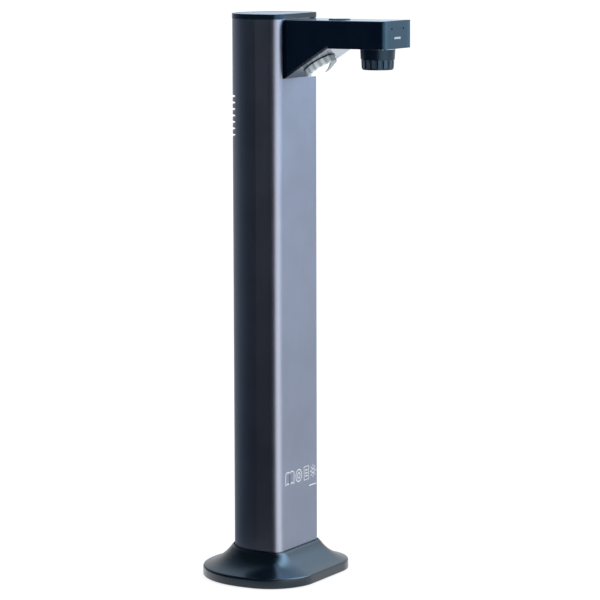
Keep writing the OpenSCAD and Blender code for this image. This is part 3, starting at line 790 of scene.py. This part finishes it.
@dataclass(frozen=True)
class LampShell:
    """Lamp cover: a milky glowing face, a fluted side in painted shade, and an up-slope end in painted
    shade edged by a painted dark shade line.

    Foot and head are the ends of the sloped panel, as Y and Z in millimetres, and distance is
    how far the lamp's axis is from the foot along the slope.
    """

    face: Colour
    side: Colour
    painted_shade_line: Colour
    flutes: int = 14
    side_mm: float = 4.6
    lean: float = 0.36
    glow: float = 0.3
    foot: Point2 = (-21.8, 356.1)
    head: Point2 = (-55.4, 377.5)
    distance: float = 19.3
    side_edge_mm: Point2 = (0.4, 1.0)
    shade_line_edge_mm: Point2 = (0.5, 0.9)
    soft_mm: float = 0.1
    shaded_half_rise_mm: Point2 = (-0.5, 1.5)
    shade_line_rise_mm: Point2 = (-0.5, 0.5)
    milk_mm: float = 1.6
    depth_mm: float = 0.01

    def material(self, name: str) -> bpy.types.Material:
        """Build the material.

        Args:
            name: The slot's name.

        Returns:
            The material.
        """
        s = Shader(name)
        angle = math.atan2(self.head[1] - self.foot[1], self.foot[0] - self.head[0])
        rise, run = math.sin(angle), math.cos(angle)
        x, y, z = s.axes()
        y = y - (self.foot[0] - self.distance * run) * MM
        z = z - (self.foot[1] + self.distance * rise) * MM
        climb = z * rise - y * run
        out = 0.0 - y * rise - z * run
        turn = climb.math("ARCTAN2", x) / math.tau
        flute = abs((turn * self.flutes + self.flutes + 0.5).fraction() - 0.5) * 2.0
        milk = s.mottle(self.milk_mm, 3.0)
        near, far = self.side_edge_mm
        wall = 1.0 - out.smooth((self.side_mm + near) * MM, (self.side_mm + far) * MM)
        edge = x + climb * self.lean
        # Painted shade: the dome's up-slope end, on one side of a slanted line, is greyed, and a dark line
        # is painted along that line.
        clear = edge.smooth(-self.soft_mm * MM, self.soft_mm * MM) * climb.rise(self.shaded_half_rise_mm)
        line = (1.0 - abs(edge).rise(self.shade_line_edge_mm)) * climb.rise(self.shade_line_rise_mm)
        # Painted shade: the side is a darker grey than the face, and darker still in the flute valleys.
        fluted = s.blend(flute.smooth(0.2, 0.8), shade(self.side, 0.78), shade(self.side, 1.2))
        body = s.blend(wall, s.blend(milk, shade(self.face, 0.97), self.face), fluted)
        ended = s.blend(clear, body, shade(self.side, 0.72))
        unlit = (wall + clear + line).math("MINIMUM", 1.0)
        return s.finish(
            {
                "Base Color": s.blend(line * (1.0 - wall), ended, self.painted_shade_line),
                "Roughness": 0.3 + milk * 0.06,
                "Emission Color": s.blend(unlit, self.face, (0, 0, 0)),
                "Emission Strength": self.glow,
                "Normal": s.bump(milk, self.depth_mm, 0.3),
            }
        )


class Finish(Protocol):
    """Anything that can build the material of a slot."""

    def material(self, name: str) -> bpy.types.Material:
        """Build the material under a name."""


FINISHES: dict[str, Finish] = {
    "column_metal": Anodised((0.235, 0.262, 0.345)),
    "cap_gloss": Moulded((0.002, 0.005, 0.010), 0.14, Grain.POLISHED, (0.32, 0.64, 1.0), 0.6),
    "inlay_metal": Brushed((0.23, 0.21, 0.27), 0.22, Lay.ACROSS),
    "arm_gloss": Moulded((0.0012, 0.0035, 0.0095), 0.12, Grain.POLISHED, COOL),
    "end_plate_slate": MarkedPaint((0.010, 0.030, 0.052), (0.55, 0.58, 0.62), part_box("arm_end_plate")),
    # The sloped panel carries painted shade that darkens its lower end.
    "silver_satin": Brushed((0.50, 0.54, 0.60), 0.26, Lay.ACROSS, (357.5, 374.0), (0.06, 0.10, 0.13)),
    "base_plastic": Moulded((0.0008, 0.0030, 0.0065), 0.24, Grain.SPARK, (0.68, 0.84, 1.0), 0.6),
    "black_plastic": Moulded((0.0014, 0.0040, 0.0095), 0.22, Grain.FINE, COOL),
    "ring_plastic": Ribbed((0.0012, 0.0034, 0.0080), (0.022, 0.034, 0.055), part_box("focus_ring")),
    "rubber": Rubber((0.010, 0.011, 0.014)),
    # Opal lamp cover: its side and its up-slope end carry painted shade.
    "opal": LampShell((0.90, 0.92, 0.94), (0.46, 0.52, 0.55), (0.04, 0.11, 0.135)),
    "white_plastic": Moulded((0.82, 0.83, 0.85), 0.3, Grain.POLISHED),
    "glass": CoatedGlass((0.22, 0.20, 0.42), (0.20, 0.42, 0.34)),
    "steel": Brushed((0.50, 0.51, 0.53), 0.32, Lay.ACROSS),
    "bright_trim": Brushed((0.72, 0.74, 0.78), 0.2, Lay.DEEP),
    "cast_weight": CastMetal((0.045, 0.048, 0.052)),
    "circuit_board": SolderMask((0.008, 0.065, 0.028), (0.75, 0.55, 0.25)),
    "chip_black": Moulded((0.010, 0.010, 0.012), 0.5, Grain.FINE),
    "aluminium": Brushed((0.62, 0.63, 0.65), 0.38, Lay.UPRIGHT),
    "silicone": Rubber((0.62, 0.62, 0.58), 0.5),
    "ribbon": CableJacket((0.60, 0.56, 0.46), 1.27, -6.0),
    "red_wire": CableJacket((0.5, 0.035, 0.028), 1.5, 8.0),
    "led_phosphor": Phosphor((0.85, 0.72, 0.25)),
}


class Wardrobe:
    """Makes each finish once and hands it to nodes and pieces by slot name."""

    def __init__(self) -> None:
        """Start with nothing made."""
        self.made: dict[str, bpy.types.Material] = {}

    def material(self, slot: str) -> bpy.types.Material:
        """Return a slot's material, making it at first use.

        Args:
            slot: The record's material slot.

        Returns:
            The material.
        """
        if slot not in self.made:
            self.made[slot] = FINISHES[slot].material(f"{slot}_finish")
        return self.made[slot]

    def dress(self, *names: str) -> None:
        """Give the named nodes their slot's finish."""
        for name in names:
            for place in NODES[name].material_slots:
                place.material = self.material(place.material.name.split(".")[0])
            log.info("dressed %s", name)


# ------------------------------------------------------------------ mesh tools


Ring = list[Vector]


def smooth_mesh(obj: bpy.types.Object, angle: float) -> None:
    """Shade a mesh smooth, with sharp edges above an angle in degrees."""
    for face in obj.data.polygons:
        face.use_smooth = True
    obj.data.set_sharp_from_angle(angle=math.radians(angle))


def build(
    name: str, verts: Sequence[Vector], faces: Sequence[Sequence[int]], angle: float = 35.0
) -> bpy.types.Object:
    """Make a mesh object at the origin.

    Args:
        name: The piece's name.
        verts: Points in metres.
        faces: Corners of each face.
        angle: Edges sharper than this many degrees stay sharp.

    Returns:
        The object.
    """
    mesh = bpy.data.meshes.new(name)
    mesh.from_pydata([tuple(v) for v in verts], [], faces)
    mesh.validate()
    mesh.update()
    obj = bpy.data.objects.new(name, mesh)
    bpy.context.scene.collection.objects.link(obj)
    smooth_mesh(obj, angle)
    return obj


def skin(rings: Sequence[Ring], closed: bool = False) -> tuple[list[Vector], list[list[int]]]:
    """Join rings of equal length with quads.

    Args:
        rings: The rings, in order.
        closed: Whether the last ring joins the first.

    Returns:
        The points and the faces.
    """
    count = len(rings[0])
    verts = [point for ring in rings for point in ring]
    faces = []
    last = len(rings) if closed else len(rings) - 1
    for j in range(last):
        low, high = j * count, (j + 1) % len(rings) * count
        for i in range(count):
            k = (i + 1) % count
            faces.append([low + i, low + k, high + k, high + i])
    return verts, faces


def cap_ring(faces: list[list[int]], start: int, count: int, reverse: bool) -> None:
    """Close a ring with one face.

    Args:
        faces: The list that the face is added to.
        start: Number of the ring's first point.
        count: Number of points.
        reverse: Whether the face turns the other way.
    """
    ring = list(range(start, start + count))
    faces.append(ring[::-1] if reverse else ring)


def lathe(profile: Sequence[Point2], steps: int) -> tuple[list[Vector], list[list[int]]]:
    """Turn a profile about the upright axis through the origin.

    Args:
        profile: Radius and height of each point, in metres.
        steps: Points around.

    Returns:
        The points and the faces.
    """
    turns = [math.tau * i / steps for i in range(steps)]
    rings = []
    for radius, height in profile:
        rings.append([Vector((radius * math.cos(turn), radius * math.sin(turn), height)) for turn in turns])
    return skin(rings)


def arc(centre: Point2, radius: float, start: float, end: float, steps: int) -> list[Point2]:
    """Return points on an arc.

    Args:
        centre: Its centre.
        radius: Its radius.
        start: First angle in degrees.
        end: Last angle in degrees.
        steps: Number of spans.

    Returns:
        The points, ends included.
    """
    angles = [math.radians(start + (end - start) * i / steps) for i in range(steps + 1)]
    return [(centre[0] + radius * math.cos(a), centre[1] + radius * math.sin(a)) for a in angles]


def bounded(node: str) -> tuple[Vector, Vector]:
    """Return a node's lowest and highest corners in millimetres."""
    low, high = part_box(node)
    return Vector(low) / MM, Vector(high) / MM


def place(obj: bpy.types.Object, body: str, slot: str, wardrobe: Wardrobe, *replaced: str) -> None:
    """Give a piece its body and its finish, and hide the nodes that it stands for.

    Args:
        obj: The piece.
        body: The CAD body that it rides on.
        slot: The record's material slot.
        wardrobe: Where its finish comes from.
        replaced: CAD nodes that it stands for.
    """
    obj.data.materials.clear()
    obj.data.materials.append(wardrobe.material(slot))
    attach(obj, body)
    if replaced:
        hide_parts(*replaced)
    log.info("built %s on %s", obj.name, body)


# ------------------------------------------------------------------ base


@dataclass
class Outline:
    """Rectangle with one radius for its front corners and another for its rear ones."""

    half: float
    front: float
    rear: float
    front_radius: float
    rear_radius: float

    def toward(self, other: "Outline", share: float, inset: float) -> "Outline":
        """Return an outline on the way to another one.

        Args:
            other: The outline at share 1.
            share: How far along it is.
            inset: How far it is drawn in.

        Returns:
            The outline between them.
        """
        mine = (self.half, self.front, self.rear, self.front_radius, self.rear_radius)
        yours = (other.half, other.front, other.rear, other.front_radius, other.rear_radius)
        return Outline(*(a * (1 - share) + b * share - inset for a, b in zip(mine, yours)))

    def ring(self, z: float, corner_steps: int, side_steps: int) -> Ring:
        """Points around the outline.

        Args:
            z: Their height in millimetres.
            corner_steps: Spans in each corner.
            side_steps: Spans along each straight side.

        Returns:
            The points in metres.
        """
        right, rear = self.half - self.rear_radius, self.rear - self.rear_radius
        near, fore = self.half - self.front_radius, self.front_radius - self.front
        corners = [
            arc((right, rear), self.rear_radius, 0, 90, corner_steps),
            arc((-right, rear), self.rear_radius, 90, 180, corner_steps),
            arc((-near, fore), self.front_radius, 180, 270, corner_steps),
            arc((near, fore), self.front_radius, 270, 360, corner_steps),
        ]
        points: list[Point2] = []
        for i, corner in enumerate(corners):
            points += corner
            start, end = corner[-1], corners[(i + 1) % len(corners)][0]
            for k in range(1, side_steps):
                t = k / side_steps
                points.append((start[0] + (end[0] - start[0]) * t, start[1] + (end[1] - start[1]) * t))
        return [Vector((x * MM, y * MM, z * MM)) for x, y in points]


@dataclass
class Base:
    """Weighted foot: a flared plastic cover over a floor plate, a mat and the socket board."""

    front_radius: float = 33.4
    rear_radius: float = 55.0
    column_front_radius: float = 7.2
    column_rear_radius: float = 31.0
    foot: float = 0.8
    foot_chamfer: float = 0.3
    rim_top: float = 6.2
    rim_round: float = 1.7
    rim_end: float = 75.0
    wall: float = 2.4
    neck_grow: float = 1.5
    neck_gap: float = 0.9
    lip_round: float = 0.35
    lift: float = 0.45
    inner_spread: float = 1.5
    inner_drop: float = 0.4
    socket_half: float = 4.72
    socket_radius: float = 1.83
    socket_height: float = 4.8
    socket_inside: float = 6.0
    socket_outside: float = 4.0
    socket_steps: int = 16
    corner_steps: int = 26
    side_steps: int = 5
    flare_steps: int = 36
    rim_steps: int = 8
    lip_steps: int = 4
    inner_steps: int = 4
    crease: float = 30.0
    nodes: tuple[str, ...] = (
        "rubber_mat", "base_floor", "floor_screws", "column_bolts", "ballast_weight", "base_shell",
        "collar_gasket", "port_board", "port_screws", "usb_socket", "port_ribbon",
    )

    def __post_init__(self) -> None:
        """Take the rim's and the neck's sizes from the frame."""
        low, high = bounded("base_shell")
        tube_low, tube_high = bounded("column_tube")
        self.rear = high.y
        self.neck_top = high.z
        grow = self.neck_grow
        self.rim = Outline(high.x, -low.y, high.y, self.front_radius, self.rear_radius)
        self.neck = Outline(
            tube_high.x + grow, grow - tube_low.y, tube_high.y + grow,
            self.column_front_radius + grow, self.column_rear_radius + grow,
        )
        turn = math.radians(self.rim_end)
        self.flare_foot = self.rim_top + self.rim_round * math.sin(turn)
        self.flare_inset = self.rim_round * (1 - math.cos(turn))

    def flare_height(self, share: float) -> float:
        """Height of the flare, from the rim at share 0 to the neck at share 1."""
        rise = self.neck_top - self.flare_foot
        return self.flare_foot + rise * (self.lift * share + (1 - self.lift) * share**3)

    def section(self, share: float, inset: float, z: float) -> Ring:
        """Return the cover's ring at a share of the way from rim to neck.

        Args:
            share: 0 at the rim and 1 at the neck.
            inset: How far the ring is drawn in.
            z: Its height.

        Returns:
            The ring's points in metres.
        """
        outline = self.rim.toward(self.neck, share, inset)
        return outline.ring(z, self.corner_steps, self.side_steps)

    def outer_rings(self) -> list[Ring]:
        """Return the outside, from the foot up over the rim and the flare to the lip."""
        rings = [
            self.section(0, self.foot_chamfer, self.foot),
            self.section(0, 0, self.foot + self.foot_chamfer),
            self.section(0, 0, self.rim_top),
        ]
        for out, up in arc((0, 0), self.rim_round, 0, self.rim_end, self.rim_steps)[1:-1]:
            rings.append(self.section(0, self.rim_round - out, self.rim_top + up))
        for i in range(self.flare_steps):
            share = i / self.flare_steps
            rings.append(self.section(share, self.flare_inset * (1 - share), self.flare_height(share)))
        for out, up in arc((0, 0), self.lip_round, 0, 90, self.lip_steps):
            rings.append(self.section(1, self.lip_round - out, self.neck_top - self.lip_round + up))
        return rings

    def inner_rings(self) -> list[Ring]:
        """Return the inside, from the lip down to the foot."""
        inner = self.neck_grow - self.neck_gap
        rings = [
            self.section(1, inner, self.neck_top),
            self.section(1, inner, self.neck_top - self.wall),
        ]
        for i in range(self.inner_steps, -1, -1):
            share = i / self.inner_steps
            inset = self.wall * self.inner_spread * (1 - share) + inner * share
            rings.append(self.section(share, inset, self.flare_height(share) - self.wall))
        rings.append(self.section(0, self.wall, self.flare_foot - self.wall - self.inner_drop))
        rings.append(self.section(0, self.wall, self.foot))
        return rings

    def socket_cutter(self) -> bpy.types.Object:
        """Return a rounded slot that cuts the socket's opening in the rear wall."""
        reach = self.socket_half - self.socket_radius
        shape = arc((reach, 0), self.socket_radius, -90, 90, self.socket_steps)
        shape += arc((-reach, 0), self.socket_radius, 90, 270, self.socket_steps)
        rings = []
        for y in (self.rear - self.socket_inside, self.rear + self.socket_outside):
            rings.append([Vector((x * MM, y * MM, (z + self.socket_height) * MM)) for x, z in shape])
        verts, faces = skin(rings)
        cap_ring(faces, 0, len(shape), reverse=True)
        cap_ring(faces, len(shape), len(shape), reverse=False)
        return build("socket_cutter", verts, faces)

    def cover(self) -> bpy.types.Object:
        """Build the flared cover with its socket opening."""
        verts, faces = skin(self.outer_rings() + self.inner_rings(), closed=True)
        obj = build("base_cover", verts, faces)
        cutter = self.socket_cutter()
        cut = obj.modifiers.new("socket", "BOOLEAN")
        cut.operation = "DIFFERENCE"
        cut.solver = "EXACT"
        cut.object = cutter
        graph = bpy.context.evaluated_depsgraph_get()
        carved = bpy.data.meshes.new_from_object(obj.evaluated_get(graph))
        obj.modifiers.clear()
        obj.data = carved
        bpy.data.objects.remove(cutter)
        smooth_mesh(obj, self.crease)
        level = obj.modifiers.new("level_normals", "WEIGHTED_NORMAL")
        level.keep_sharp = True
        return obj

    def make(self, wardrobe: Wardrobe) -> None:
        """Build and dress the base."""
        wardrobe.dress(*self.nodes)
        place(self.cover(), "scanner", "base_plastic", wardrobe, "base_shell")


# ------------------------------------------------------------------ column


@dataclass
class Pictograms:
    """Row of generic line drawings on a flat front: a book, a lens, a page and a lamp."""

    left: float
    right: float
    low: float
    high: float
    stroke: float = 0.7
    small_left: float = 13.7
    small_height: float = 63.0
    lift: float = 0.03
    centres: tuple[float, ...] = (0.14, 0.43, 0.68, 0.90)
    book_share: float = 0.27
    page_share: float = 0.72
    page_curl: float = 0.14
    rules: tuple[float, ...] = (0.28, 0.5, 0.72)
    rule_share: float = 0.55
    lens_radii: Point2 = (0.45, 0.2)
    sun_radius: float = 0.19
    ray_ends: Point2 = (0.31, 0.48)
    rays: int = 8

    def band(self, points: Sequence[Point2], closed: bool = False) -> list[list[Point2]]:
        """Turn a line into stroke quads.

        Args:
            points: The line's points.
            closed: Whether it joins its own start.

        Returns:
            The quads.
        """
        count = len(points)
        quads = []
        offsets = []
        for i, (x, z) in enumerate(points):
            before = points[(i - 1) % count] if closed or i else points[i]
            after = points[(i + 1) % count] if closed or i < count - 1 else points[i]
            along = Vector((after[0] - before[0], after[1] - before[1])).normalized()
            side = Vector((-along.y, along.x)) * self.stroke / 2
            offsets.append(((x + side.x, z + side.y), (x - side.x, z - side.y)))
        for i in range(count if closed else count - 1):
            k = (i + 1) % count
            quads.append([offsets[i][0], offsets[i][1], offsets[k][1], offsets[k][0]])
        return quads

    def circle(self, x: float, radius: float, steps: int) -> list[list[Point2]]:
        """Circle at the middle height of the row.

        Args:
            x: Its centre.
            radius: Its radius.
            steps: Number of strokes round it.

        Returns:
            The quads.
        """
        centre = (x, (self.low + self.high) / 2)
        return self.band(arc(centre, radius, 0, 360 * (1 - 1 / steps), steps - 1), closed=True)

    def book(self, x: float, width: float, height: float) -> list[list[Point2]]:
        """Open book with its two pages curling up from the spine.

        Args:
            x: Its middle.
            width: Its width.
            height: Its height.

        Returns:
            The quads.
        """
        quads = []
        for side in (-1, 1):
            curl = []
            for t in (0, 0.25, 0.5, 0.75, 1):
                curl.append((x + side * width / 2 * t, self.page_curl * math.sin(math.pi * t)))
            top = [(along, self.low + height * (1 - self.page_curl + bend)) for along, bend in curl]
            foot = [(along, self.low + height * bend) for along, bend in reversed(curl)]
            quads += self.band(top + foot, closed=True)
        return quads

    def lens(self, x: float, height: float) -> list[list[Point2]]:
        """Lens seen from the front: a circle in a circle.

        Args:
            x: Its middle.
            height: Height of the row.

        Returns:
            The quads.
        """
        outer, inner = self.lens_radii
        return self.circle(x, height * outer, 24) + self.circle(x, height * inner, 12)

    def page(self, x: float, width: float, height: float) -> list[list[Point2]]:
        """Sheet of paper with three ruled lines.

        Args:
            x: Its middle.
            width: Its width.
            height: Its height.

        Returns:
            The quads.
        """
        z, half = self.low, width / 2
        sheet = [(x - half, z), (x + half, z), (x + half, z + height), (x - half, z + height)]
        quads = self.band(sheet, closed=True)
        reach = half * self.rule_share
        for share in self.rules:
            quads += self.band([(x - reach, z + height * share), (x + reach, z + height * share)])
        return quads

    def sun(self, x: float, height: float) -> list[list[Point2]]:
        """Lamp symbol: a small circle with rays.

        Args:
            x: Its middle.
            height: Height of the row.

        Returns:
            The quads.
        """
        z = self.low + height / 2
        quads = self.circle(x, height * self.sun_radius, 12)
        near, far = height * self.ray_ends[0], height * self.ray_ends[1]
        for i in range(self.rays):
            turn = math.tau * i / self.rays
            quads += self.band([
                (x + near * math.cos(turn), z + near * math.sin(turn)),
                (x + far * math.cos(turn), z + far * math.sin(turn)),
            ])
        return quads

    def object(self, name: str, front: float) -> bpy.types.Object:
        """Build the drawings as thin ink.

        Args:
            name: The piece's name.
            front: Y of the printed face, in millimetres.

        Returns:
            The object.
        """
        height = self.high - self.low
        span = self.right - self.left
        at = [self.left + span * share for share in self.centres]
        quads = self.book(at[0], span * self.book_share, height) + self.lens(at[1], height)
        quads += self.page(at[2], height * self.page_share, height) + self.sun(at[3], height)
        quads += self.band([(self.small_left, self.small_height), (self.right, self.small_height)])
        y = (front - self.lift) * MM
        verts, faces = [], []
        for quad in quads:
            faces.append([len(verts) + i for i in range(4)])
            verts += [Vector((x * MM, y, z * MM)) for x, z in quad]
        return build(name, verts, faces)


@dataclass
class Column:
    """Anodised tube with its boards, its cap and the print on its front."""

    print_left: float = -21.6
    print_right: float = 24.5
    print_low: float = 68.0
    print_high: float = 77.6
    ink: Colour = (0.70, 0.72, 0.76)
    nodes: tuple[str, ...] = (
        "column_tube", "main_board", "board_chips", "heat_sink", "arm_bracket", "top_cap",
        "cap_screws", "top_inlay",
    )

    def make(self, wardrobe: Wardrobe) -> None:
        """Build and dress the column."""
        wardrobe.dress(*self.nodes)
        low, _ = bounded("column_tube")
        marks = Pictograms(self.print_left, self.print_right, self.print_low, self.print_high)
        drawn = marks.object("column_print", low.y)
        drawn.data.materials.append(Ink(self.ink).material("print_ink"))
        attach(drawn, "scanner")
        log.info("built column_print on scanner")


# ------------------------------------------------------------------ arm


@dataclass
class Arm:
    """Camera arm: casing, underside, sloped panel and end plate."""

    nodes: tuple[str, ...] = (
        "arm_housing", "arm_screws", "arm_floor", "arm_soffit", "arm_end_plate", "mic_board",
        "mic_capsules", "camera_board", "camera_screws", "image_sensor", "head_ribbon", "lamp_cable",
        "lamp_button", "button_spring", "button_switch", "button_board", "button_screws",
    )

    def make(self, wardrobe: Wardrobe) -> None:
        """Dress the arm."""
        wardrobe.dress(*self.nodes)


@dataclass
class Lens:
    """Lens under the arm's tip: collar, ribbed focus ring, barrel and glass."""

    nodes: tuple[str, ...] = (
        "lens_mount", "lens_trim_ring", "lens_collar", "focus_ring", "lens_barrel",
        "lens_elements", "lens_spacers", "front_lens", "lens_retainer",
    )

    def make(self, wardrobe: Wardrobe) -> None:
        """Dress the lens."""
        wardrobe.dress(*self.nodes)


@dataclass
class Lamp:
    """Round lamp in the sloped panel, under a fluted opal dome."""

    nodes: tuple[str, ...] = (
        "lamp_bezel", "lamp_lens", "lamp_reflector", "lamp_board", "lamp_leds", "lamp_screws",
    )

    def make(self, wardrobe: Wardrobe) -> None:
        """Dress the lamp."""
        wardrobe.dress(*self.nodes)


# ------------------------------------------------------------------ studio


@dataclass
class Studio:
    """White table, a soft key light, a room of soft cards for the reflections, and the camera."""

    heading: float = 28.1813
    pitch: float = 7.26713
    roll: float = -0.14839
    distance: float = 2.233834
    focal_mm: float = 188.57
    sensor_mm: float = 36.0
    aim_right: float = 0.019592
    aim_up: float = 0.1972200
    clip: Point2 = (0.05, 200.0)
    floor_rings: tuple[float, ...] = (0.0001, 0.5, 4.0, 40.0)
    floor_steps: int = 48
    floor_glow: float = 0.78
    floor_colour: float = 0.30
    sky: float = 1.0
    room_profile: tuple[Point2, ...] = ((0.078, 0.001), (0.9, 0.001), (0.9, 1.6), (0.0001, 1.6))
    room_steps: int = 96
    card_peak: float = 10.0
    upper_level: Point2 = (0.36, 0.54)
    upper_tint: Colour = (0.66, 0.90, 1.12)
    key_bearing: float = 252.0
    key_distance: float = 1.5
    key_size: Point2 = (0.9, 1.8)
    key_power: float = 12.0
    cards: tuple[tuple[float, Colour], ...] = (
        (0, (0.85, 0.88, 0.92)),
        (28, (0.95, 0.98, 1.02)),
        (45, (0.66, 0.70, 0.74)),
        (60, (0.36, 0.37, 0.38)),
        (80, (0.19, 0.21, 0.24)),
        (100, (0.08, 0.10, 0.13)),
        (125, (0.03, 0.045, 0.06)),
        (150, (0.015, 0.02, 0.028)),
        (182, (0.028, 0.026, 0.032)),
        (206, (0.09, 0.08, 0.09)),
        (216, (0.55, 0.52, 0.50)),
        (226, (1.75, 1.66, 1.52)),
        (242, (2.38, 2.22, 2.06)),
        (262, (2.42, 2.26, 2.10)),
        (280, (1.60, 1.56, 1.46)),
        (297, (1.04, 1.07, 1.04)),
        (320, (0.98, 1.00, 1.00)),
        (340, (0.80, 0.84, 0.88)),
        (360, (0.85, 0.88, 0.92)),
    )
    upper_cards: tuple[tuple[float, float], ...] = (
        (0, 1.6), (30, 1.0), (62, 0.3), (90, 0.06), (225, 0.03), (246, 0.3), (268, 3.6),
        (292, 8.8), (306, 8.4), (322, 4.4), (338, 2.5), (360, 1.6),
    )

    def emitter(self, name: str, glow: float, colour: float) -> bpy.types.Material:
        """Material that glows and also takes soft shadows.

        Args:
            name: Its name.
            glow: Light that it gives by itself.
            colour: Share of the light that it returns.

        Returns:
            The material.
        """
        s = Shader(name)
        emission = s.node("ShaderNodeEmission", inputs={"Color": (1, 1, 1), "Strength": glow})
        diffuse = s.node("ShaderNodeBsdfDiffuse", inputs={"Color": (colour, colour, colour)})
        both = s.node("ShaderNodeAddShader", inputs={0: emission, 1: diffuse})
        s.node("ShaderNodeOutputMaterial", inputs={"Surface": both})
        return s.material

    def card_material(self) -> bpy.types.Material:
        """Material of the room's walls: soft cards whose light changes with their bearing."""
        s = Shader("soft_cards")
        x, y, z = s.axes()
        turn = y.math("ARCTAN2", x) / math.tau
        bearing = (turn + 1.0).fraction()
        peak = self.card_peak
        lower = [(angle / 360, shade(colour, 1 / peak)) for angle, colour in self.cards]
        upper = [(angle / 360, shade(self.upper_tint, glow / peak)) for angle, glow in self.upper_cards]
        low = s.node("ShaderNodeValToRGB", {"stops": lower}, {"Fac": bearing})
        high = s.node("ShaderNodeValToRGB", {"stops": upper}, {"Fac": bearing})
        tint = s.blend(z.smooth(*self.upper_level), low, high)
        glow = s.node("ShaderNodeEmission", inputs={"Color": tint, "Strength": peak})
        s.node("ShaderNodeOutputMaterial", inputs={"Surface": glow})
        s.material.cycles.emission_sampling = "NONE"
        return s.material

    def floor(self) -> None:
        """Lay the white table."""
        profile = [(radius, 0.0) for radius in self.floor_rings]
        table = build("table_top", *lathe(profile, self.floor_steps))
        table.data.materials.append(self.emitter("table_white", self.floor_glow, self.floor_colour))

    def room(self) -> None:
        """Stand a ring of soft cards round the table, seen only in reflections."""
        room = build("soft_room", *lathe(self.room_profile, self.room_steps))
        room.data.materials.append(self.card_material())
        room.visible_camera = False
        room.visible_diffuse = False
        room.visible_shadow = False
        room.visible_transmission = False

    def key_light(self) -> None:
        """Stand an upright soft light that faces the column from its front left."""
        lamp = bpy.data.lights.new("key_light", "AREA")
        lamp.shape = "RECTANGLE"
        lamp.size, lamp.size_y = self.key_size
        lamp.energy = self.key_power
        obj = bpy.data.objects.new("key_light", lamp)
        turn = math.radians(self.key_bearing)
        spot = Vector((math.cos(turn), math.sin(turn), 0)) * self.key_distance
        obj.location = spot + Vector((0, 0, self.key_size[1] / 2))
        obj.rotation_euler = (-spot).to_track_quat("-Z", "Y").to_euler()
        obj.visible_camera = False
        obj.visible_glossy = False
        bpy.context.scene.collection.objects.link(obj)

    def world(self) -> None:
        """Fill the room with even white light."""
        world = bpy.data.worlds.new("white_room")
        world.use_nodes = True
        background = world.node_tree.nodes["Background"]
        background.inputs["Color"].default_value = (1, 1, 1, 1)
        background.inputs["Strength"].default_value = self.sky
        bpy.context.scene.world = world

    def camera(self) -> None:
        """Stand the camera."""
        heading, pitch = math.radians(self.heading), math.radians(self.pitch)
        flat = Vector((math.cos(heading), math.sin(heading), 0))
        ahead = flat * math.cos(pitch) - Vector((0, 0, math.sin(pitch)))
        right = Vector((math.sin(heading), -math.cos(heading), 0))
        up = right.cross(ahead)
        aim = right * self.aim_right + Vector((0, 0, self.aim_up))
        lens = bpy.data.cameras.new("view")
        lens.lens = self.focal_mm
        lens.sensor_width = self.sensor_mm
        lens.clip_start, lens.clip_end = self.clip
        obj = bpy.data.objects.new("view", lens)
        facing = Matrix((right, up, -ahead)).transposed()
        turned = facing @ Matrix.Rotation(math.radians(self.roll), 3, "Z")
        obj.matrix_world = Matrix.Translation(aim - ahead * self.distance) @ turned.to_4x4()
        bpy.context.scene.collection.objects.link(obj)
        bpy.context.scene.camera = obj

    def make(self) -> None:
        """Set up the studio."""
        bpy.context.scene.view_settings.view_transform = "Standard"
        self.camera()
        self.floor()
        self.room()
        self.world()
        self.key_light()
        log.info("set up the studio")


def main() -> None:
    """Build the studio and every sub-assembly in order."""
    logging.basicConfig(level=logging.INFO, format="%(message)s")
    wardrobe = Wardrobe()
    Studio().make()
    for part in (Base(), Column(), Arm(), Lens(), Lamp()):
        part.make(wardrobe)


if __name__ == "__main__":
    main()
